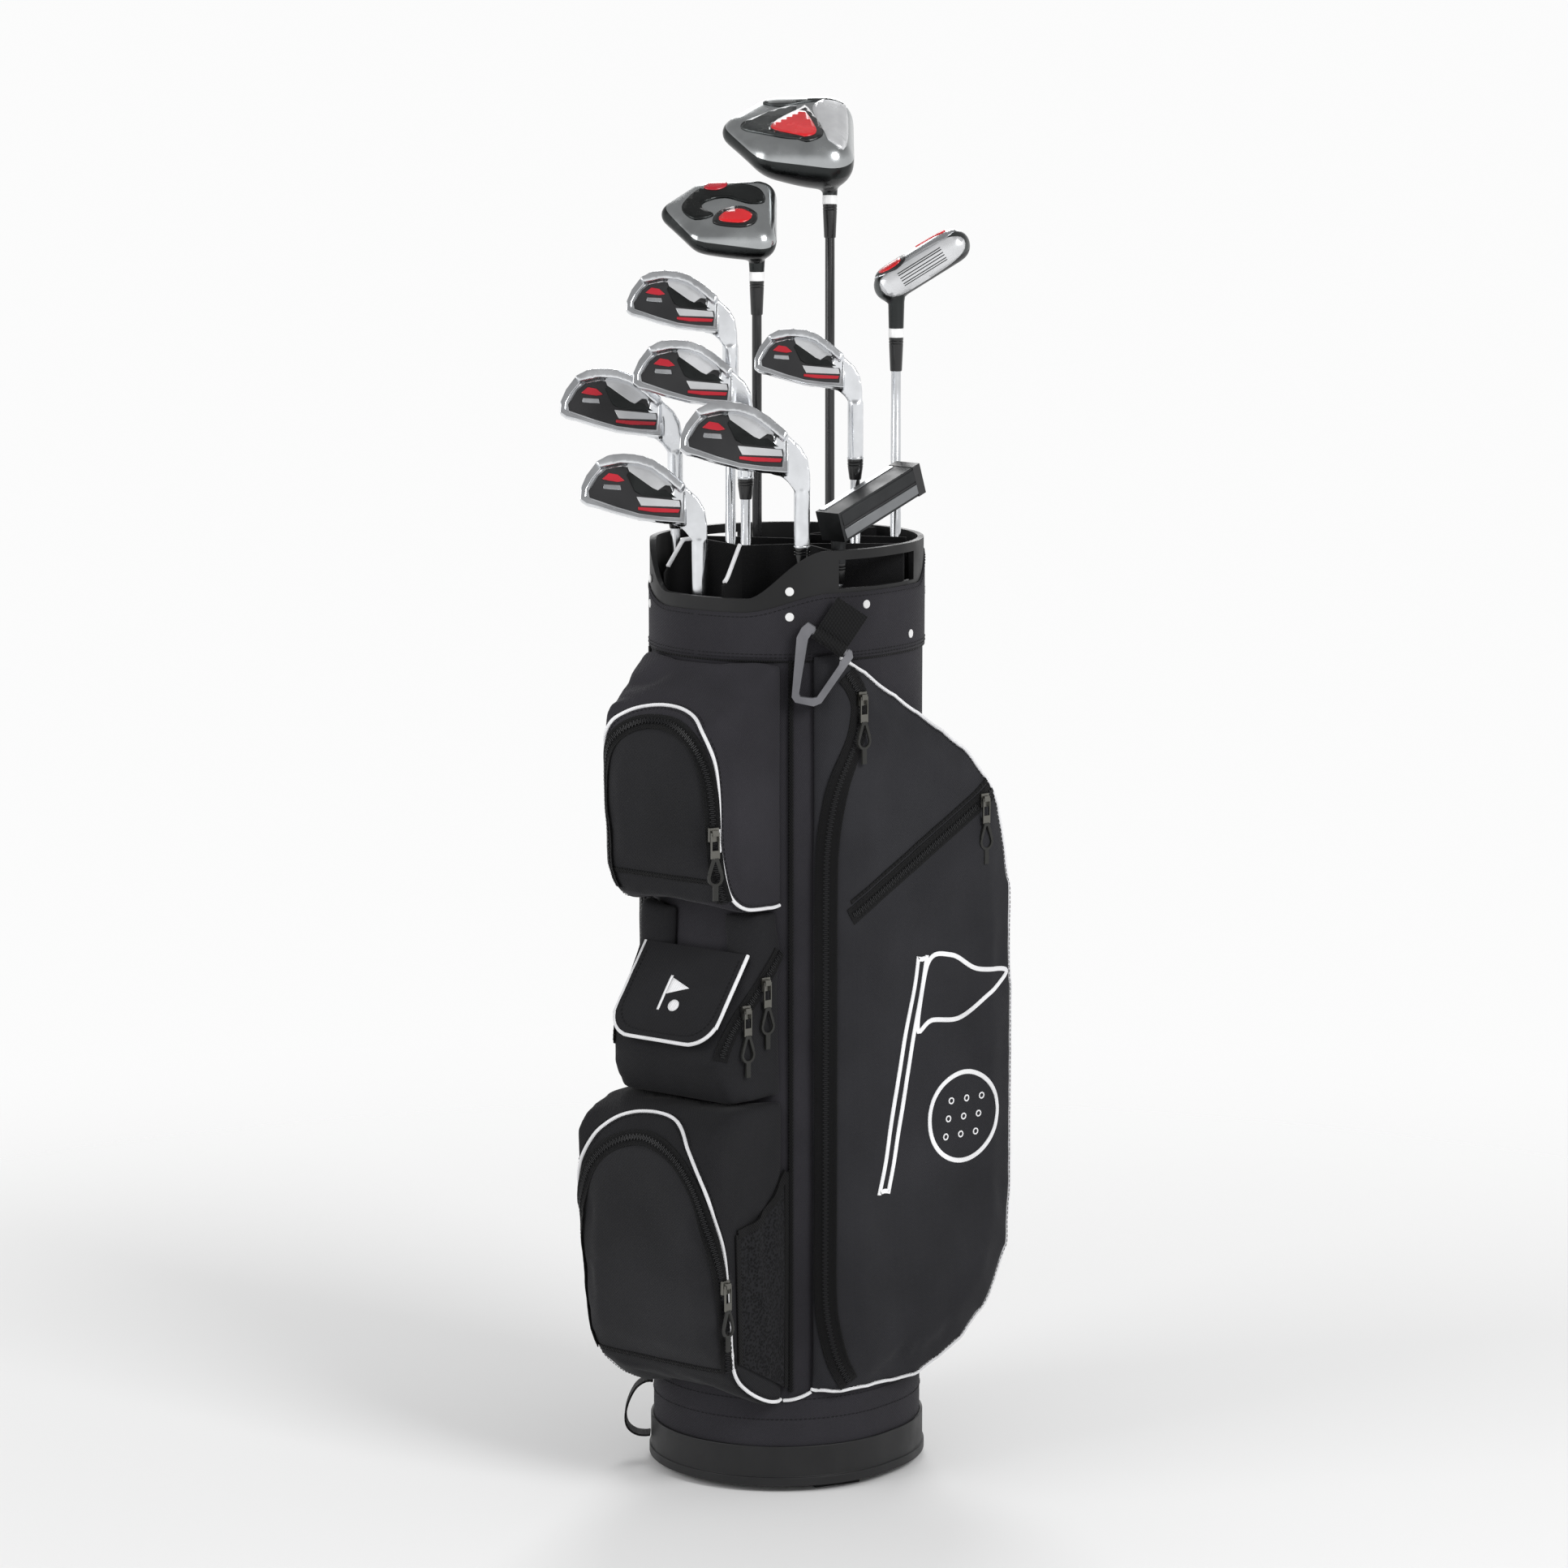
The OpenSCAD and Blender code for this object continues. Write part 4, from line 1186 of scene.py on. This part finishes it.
def make_shaft(club, top, ferrule_radius, ferrule, steel):
    """A shaft with its steps where it is steel, and its ferrule."""
    low = FLOOR + 30
    rings = [(low, 0.5), (low, 6.4), (355, 6.4)]
    count = 14 if steel else 2
    for i in range(1, count + 1):
        height = 355 + (top - ferrule - 355) * i / (count + 1)
        if steel:
            rings.append((height - 0.4, 6.4 - 2.1 * (i - 1) / count))
        rings.append((height, 6.4 - 2.1 * i / count))
    rings += [(top - 2, 4.3), (top - 2, 0.5)]
    shaft = turned_piece(f"{club}_shaft_tube", club, rings, "steel_tube" if steel else "graphite")
    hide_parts(f"{club}_shaft")
    base, wide = top - ferrule, ferrule_radius
    cone = [(base, 4.4), (base, 5.0), (base + 1, 5.3), (top - 6, wide - 0.1), (top - 5.6, wide - 0.4),
            (top - 5, wide), (top - 3.6, wide), (top - 3.2, wide - 0.4), (top - 2.6, wide), (top, wide),
            (top, 4.2)]
    turned_piece(f"{club}_ferrule", club, cone, "ferrule_black")


def thinned(obj, place, back, deep, thin):
    """The wood head grows thinner toward its back, while its sole stays where it is."""
    inverse = place.inverted()
    for vert in obj.data.vertices:
        p = inverse @ vert.co
        share = ramp(-p.x, 0.004, -back * MM, 1, thin)
        p.z = deep * MM - (deep * MM - p.z) * share
        vert.co = place @ p


def banded(obj, place, bands):
    """Faces past each (height, material) along the place's Z take that material, with clean edges."""
    normal = (place.to_3x3() @ Vector((0, 0, 1))).normalized()
    shell = bmesh.new()
    shell.from_mesh(obj.data)
    for number, (height, material) in enumerate(bands):
        point = place @ mm(0, 0, height)
        everything = shell.verts[:] + shell.edges[:] + shell.faces[:]
        bmesh.ops.bisect_plane(shell, geom=everything, plane_co=point, plane_no=normal)
        for face in shell.faces:
            if (face.calc_center_median() - point).dot(normal) > 0:
                face.material_index = number + 1
        obj.data.materials.append(FINISHES[material])
    shell.to_mesh(obj.data)
    shell.free()


def smooth_head(club, material, voxel, rounds, thinning=None):
    """The head's own shape with its facets and hard corners rounded off."""
    node = f"{club}_head"
    obj = remeshed(node, f"{club}_head_body", voxel, rounds)
    if thinning:
        thinned(obj, *thinning)
    obj.data.materials.clear()
    obj.data.materials.append(FINISHES[material])
    obj.data.shade_smooth()
    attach(obj, club)
    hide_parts(node)
    return obj


# Outlines of an iron's blade and of its cavity, toward the toe and up
BLADE = [
    (12, 47), (28, 61), (41, 69.5), (52, 73.5), (67, 75), (80, 73.5), (92, 67), (100, 56), (105, 44),
    (105.5, 34), (100, 30), (90, 27.5), (75, 22.6), (53, 16.7), (33, 14.2), (12, 12.5)
]
CAVITY = [
    (15, 43), (29, 55), (42, 63.5), (53, 67.5), (67, 69), (78, 67.5), (87, 62), (95, 52), (99.5, 43),
    (100, 37), (96, 34), (88, 31.2), (74, 26.2), (53, 20.3), (33, 17.6), (15, 16.5)
]
# Panels in an iron's cavity: outline toward the toe and up, material, and how far each stands off the floor
IRON_PANELS = {
    "field": ([(16, 30), (17, 42), (30, 53.5), (53, 65.5), (67, 67), (78, 65.5), (86, 60), (93, 51),
               (98, 42.5), (97, 36.5), (87, 33), (73, 28), (53, 22), (33, 19.3), (17, 18.4)],
              "black_satin", 0.6),
    "plate": ([(64.6, 67), (51, 68), (41, 65.5), (28, 56.5), (20, 49), (24, 46.6), (30, 47.4), (36.6, 42.6),
               (41.5, 45), (62, 60)], "plate_silver", 2.2),
    "band": ([(64, 57), (62, 60), (41.5, 45), (36.6, 42.6), (30, 43.4), (20, 36), (36.6, 37), (50.6, 38.4),
              (57, 42)], "dark_gunmetal", 1.8),
    # The silver stripe is a painted highlight: the light caught above the red stripe, drawn as a bright
    # inlay
    "stripe": ([(55.5, 37), (17.6, 33.4), (16.5, 27.6), (51.4, 28.8)], "plate_silver", 1.5),
    "red_stripe": ([(54, 27.6), (17, 25.6), (18.5, 22.4), (41, 23), (54, 25)], "iron_red", 1.5),
    "badge": ([(86, 53), (80, 58.5), (72, 57), (66, 51.5), (72, 50.4), (80, 51.6)], "iron_red", 1.7),
    "block": ([(69, 43), (85, 44.2), (84.6, 48.4), (69.6, 47.6)], "satin", 1.4),
    "line": ([(64.6, 65), (71, 67.4), (82.6, 63.6), (90.6, 56.6), (96.6, 45.6), (95.6, 45), (89.6, 55.6),
              (82, 62.2), (71, 65.8), (65, 63.6)], "putter_grey", 1.1)
}


def iron_place(club):
    neck, size = IRONS[club]
    return club_place(club) @ shift(0, 0, neck) @ turned(180, "Z") @ turned(90, "X") @ Matrix.Scale(size, 4)


def make_iron(club):
    """A cavity-back iron: a rounded body, a raised rim round the cavity, and its inlaid panels."""
    smooth_head(club, "iron_steel", 0.0013, 5)
    blade = iron_place(club) @ shift(0, 42, 0) @ turned(20, "X") @ shift(0, -42, -3)
    ring = frame_prism(points_2d(BLADE), points_2d(CAVITY), -0.0032, 0.003, blade)
    rim = make(f"{club}_rim", [ring], "chrome", club)
    bevelled(rim, 0.0009, 3)
    for panel, (outline, material, stand) in IRON_PANELS.items():
        inlay = prism(points_2d(outline), -stand * MM, 0.001, blade)
        piece = make(f"{club}_{panel}", [inlay], material, club)
        bevelled(piece, 0.0003, 1)
    foot = IRONS[club][0] - 50
    rings = [(foot, 4.4), (foot, 7.05), (foot + 0.8, 7.3), (foot + 1.6, 7.05), (foot + 1.6, 4.4)]
    turned_piece(f"{club}_hosel_ring", club, rings, "satin")


# Panels on the soles of the woods: outline toward the face and toward the toe, material, and thickness
DRIVER_PANELS = {
    "wedge": ([(-80, 32), (-50, 10), (-26, 5), (-22, 9), (-54, 26), (-30, 60), (-36, 66), (-62, 50)],
              "gunmetal", 0.9),
    "toe_band": ([(-60, 78), (-30, 90), (2, 90), (12, 80), (-16, 76), (-46, 66)], "gunmetal", 0.9),
    "border": ([(-27, 61), (-20, 63), (-6, 17), (-18, 2), (-30, 6), (-57, 24)], "black_gloss", 0.9),
    "red": ([(-53, 26), (-27, 56), (-22, 54), (-12, 18), (-20, 8), (-28, 10)], "wood_red", 1.5),
    "face_side": ([(-15, 66), (13, 82), (14, 4), (0, 2), (-5, 16)], "plate_silver", 0.9)
}
FAIRWAY_PANELS = {
    "plate": ([(-60, 48), (-46, 63), (-18, 68), (2, 60), (7, 42), (-6, 38), (-28, 47), (-46, 40), (-48, 30),
               (-38, 20), (-54, 14), (-66, 30)], "dark_gunmetal", 0.9),
    "dome": ([(-47, 60), (-40, 70), (-28, 71), (-27, 63), (-36, 57)], "iron_red", 1.5),
    "border": ([(-38, 8), (-32, 26), (-14, 33), (0, 22), (-2, 8), (-14, 2)], "black_gloss", 0.9),
    "red": ([(-33, 11), (-28, 23), (-14, 28), (-4, 19), (-8, 10), (-16, 7)], "wood_red", 1.5)
}
HYBRID_PANELS = {
    "sole": ([(-38, 20), (-34, 50), (-20, 70), (-2, 77), (8, 70), (9, 30), (7, 2), (-6, -6), (-24, 0)],
             "satin", 0.5),
    "heel": ([(-30, 6), (-22, 26), (6, 26), (7, 4), (-6, -4), (-22, 0)], "black_satin", 0.9),
    "strip": ([(-30, 44), (-20, 60), (-6, 70), (0, 66), (-12, 54), (-20, 40)], "wood_red", 1.3),
    "red": ([(-8, 4), (-10, 20), (4, 22), (6, 8), (2, 1)], "wood_red", 1.5)
}
# Each wood head: its back edge, its depth, how thin its back gets, and its finishes from crown to sole
DRIVER_SIZE = (-97, 50, 0.62, [(20, "dark_gunmetal"), (31, "wood_silver")])
FAIRWAY_SIZE = (-85, 33, 0.7, [(12, "dark_gunmetal"), (20, "wood_silver")])
HYBRID_SIZE = (-46, 30, 0.9, [(6, "gunmetal")])
# (height, radius) of each wood's neck, up into its head
DRIVER_NECK = [(1134, 4.4), (1134, 6.6), (1146, 7.2), (1156, 8.6), (1165, 11.5), (1172, 16), (1176, 10)]
FAIRWAY_NECK = [(1067, 4.4), (1067, 6.6), (1080, 7.4), (1090, 9), (1098, 12), (1102, 8)]
HYBRID_NECK = [(1017, 4.4), (1017, 6.6), (1040, 7.2), (1050, 8.6), (1058, 11), (1062, 8)]


def sole_place(club, low, spin=0):
    return club_place(club) @ shift(0, 0, low) @ turned(spin, "Z") @ turned(32, "X")


def make_wood(club, low, panels, body_material, size, spin=0, neck=()):
    """A hollow wood head with a black crown, a metal sole with inlaid panels, and a tapered neck."""
    place = sole_place(club, low, spin)
    back, deep, thin, bands = size
    head = smooth_head(club, body_material, 0.0020, 22, (place, back, deep, thin))
    banded(head, place @ turned(6, "Y"), bands)
    surface = surface_of(head)
    for panel, (outline, material, thick) in panels.items():
        smooth = [Vector((x, y, 0)) * MM for x, y in outline]
        rounded = [(p.x, p.y) for p in curve_through(smooth, 0.004, True)]
        patch(f"{club}_{panel}", rounded, place @ shift(0, 0, 60), surface, material, club,
              0.0001, thick * MM, 0.005)
    turned_piece(f"{club}_neck", club, neck, "dark_gunmetal")
    band = WOOD_BANDS[club]
    white = [(-0.2, 4.4), (-0.2, 6.5), (0, 6.8), (7.4, 6.8), (7.8, 6.5), (7.8, 4.4)]
    turned_piece(f"{club}_band", club, [(band + h, r) for h, r in white], "ferrule_white")


def make_hybrid_face():
    """The hybrid's bright face, with its grooves, laid on the side of its head."""
    surface = surface_of(bpy.data.objects["hybrid_head_body"])
    place = sole_place("hybrid", 1040, -90) @ shift(60, 0, 15) @ turned(90, "Y")
    outline = [(-11, 4), (-12, 30), (-11, 62), (-4, 78), (6, 76), (11, 60), (12, 30), (11, 6), (4, -4),
               (-6, -4)]
    smooth = curve_through([Vector((x, y, 0)) * MM for x, y in outline], 0.004, True)
    patch("hybrid_face", [(p.x, p.y) for p in smooth], place, surface, "plate_silver", "hybrid",
          0.0001, 0.0006)
    skin = surface_of(bpy.data.objects["hybrid_face"])
    for number in range(6):
        x = (number - 2.5) * 3.2
        ends = [place @ mm(x, y, -44) for y in range(14, 62, 4)]
        line = laid(ends, skin, -0.00015)
        make(f"hybrid_groove_{number}", [sweep(line, strip(0.0009, 0.0003))], "dark_gunmetal", "hybrid")


def make_putter():
    """A blade putter with a grey face insert between darker strips."""
    place = club_place("putter") @ shift(0, 0, PUTTER_NECK) @ turned(47, "Z") @ turned(-19, "Y")
    softened("putter_head", "putter_black", "putter", 0.0022, 3)
    strips = {
        "face": ((-4, 101), (-14.1, -13.2), (2, 11), "putter_grey"),
        "line": ((-4, 101), (-14.0, -13.2), (11.8, 13.2), "black_satin"),
        "sole": ((-4, 101), (-14.0, -13.2), (14, 25), "putter_black"),
        "edge": ((-3, 92), (6.5, 12.4), (26.8, 27.6), "satin"),
        "cap": ((94, 103.8), (-14.2, 13.8), (-0.6, 27.4), "black_satin")
    }
    for name, (x, y, z, material) in strips.items():
        outline = points_2d([(x[0], y[0]), (x[1], y[0]), (x[1], y[1]), (x[0], y[1])])
        solid = prism(outline, z[0] * MM, z[1] * MM, place)
        piece = make(f"putter_{name}", [solid], material, "putter")
        bevelled(piece, 0.0003, 1)


def make_clubs():
    """Grips, shafts and heads of all ten clubs."""
    for club in CLUBS:
        make_grip(club)
    for club, (neck, _) in IRONS.items():
        make_shaft(club, neck - 50, 6.9, 18, True)
        make_iron(club)
    for club, steel in (("driver", False), ("fairway_wood", False), ("hybrid", True)):
        make_shaft(club, WOOD_BANDS[club], 6.4, 30, steel)
    make_shaft("putter", PUTTER_NECK - 22, 6.4, 18, True)
    make_wood("driver", 1138, DRIVER_PANELS, "black_gloss", DRIVER_SIZE, neck=DRIVER_NECK)
    make_wood("fairway_wood", 1078, FAIRWAY_PANELS, "black_gloss", FAIRWAY_SIZE,
              neck=FAIRWAY_NECK)
    make_wood("hybrid", 1040, HYBRID_PANELS, "black_satin", HYBRID_SIZE, -90,
              neck=HYBRID_NECK)
    make_hybrid_face()
    make_putter()


make_camera()
make_studio()
make_body()
make_divider_edges()
make_upper_pocket()
make_middle_pocket()
make_lower_pocket()
make_flap()
make_mesh_pocket()
make_corner_piping()
make_side_pocket("right_side", "right_side_pocket", 1, 0)
make_side_pocket("left_side", "left_side_pocket", -1, LEFT_DROP)
make_gusset_seams()
make_pulls()
make_clubs()
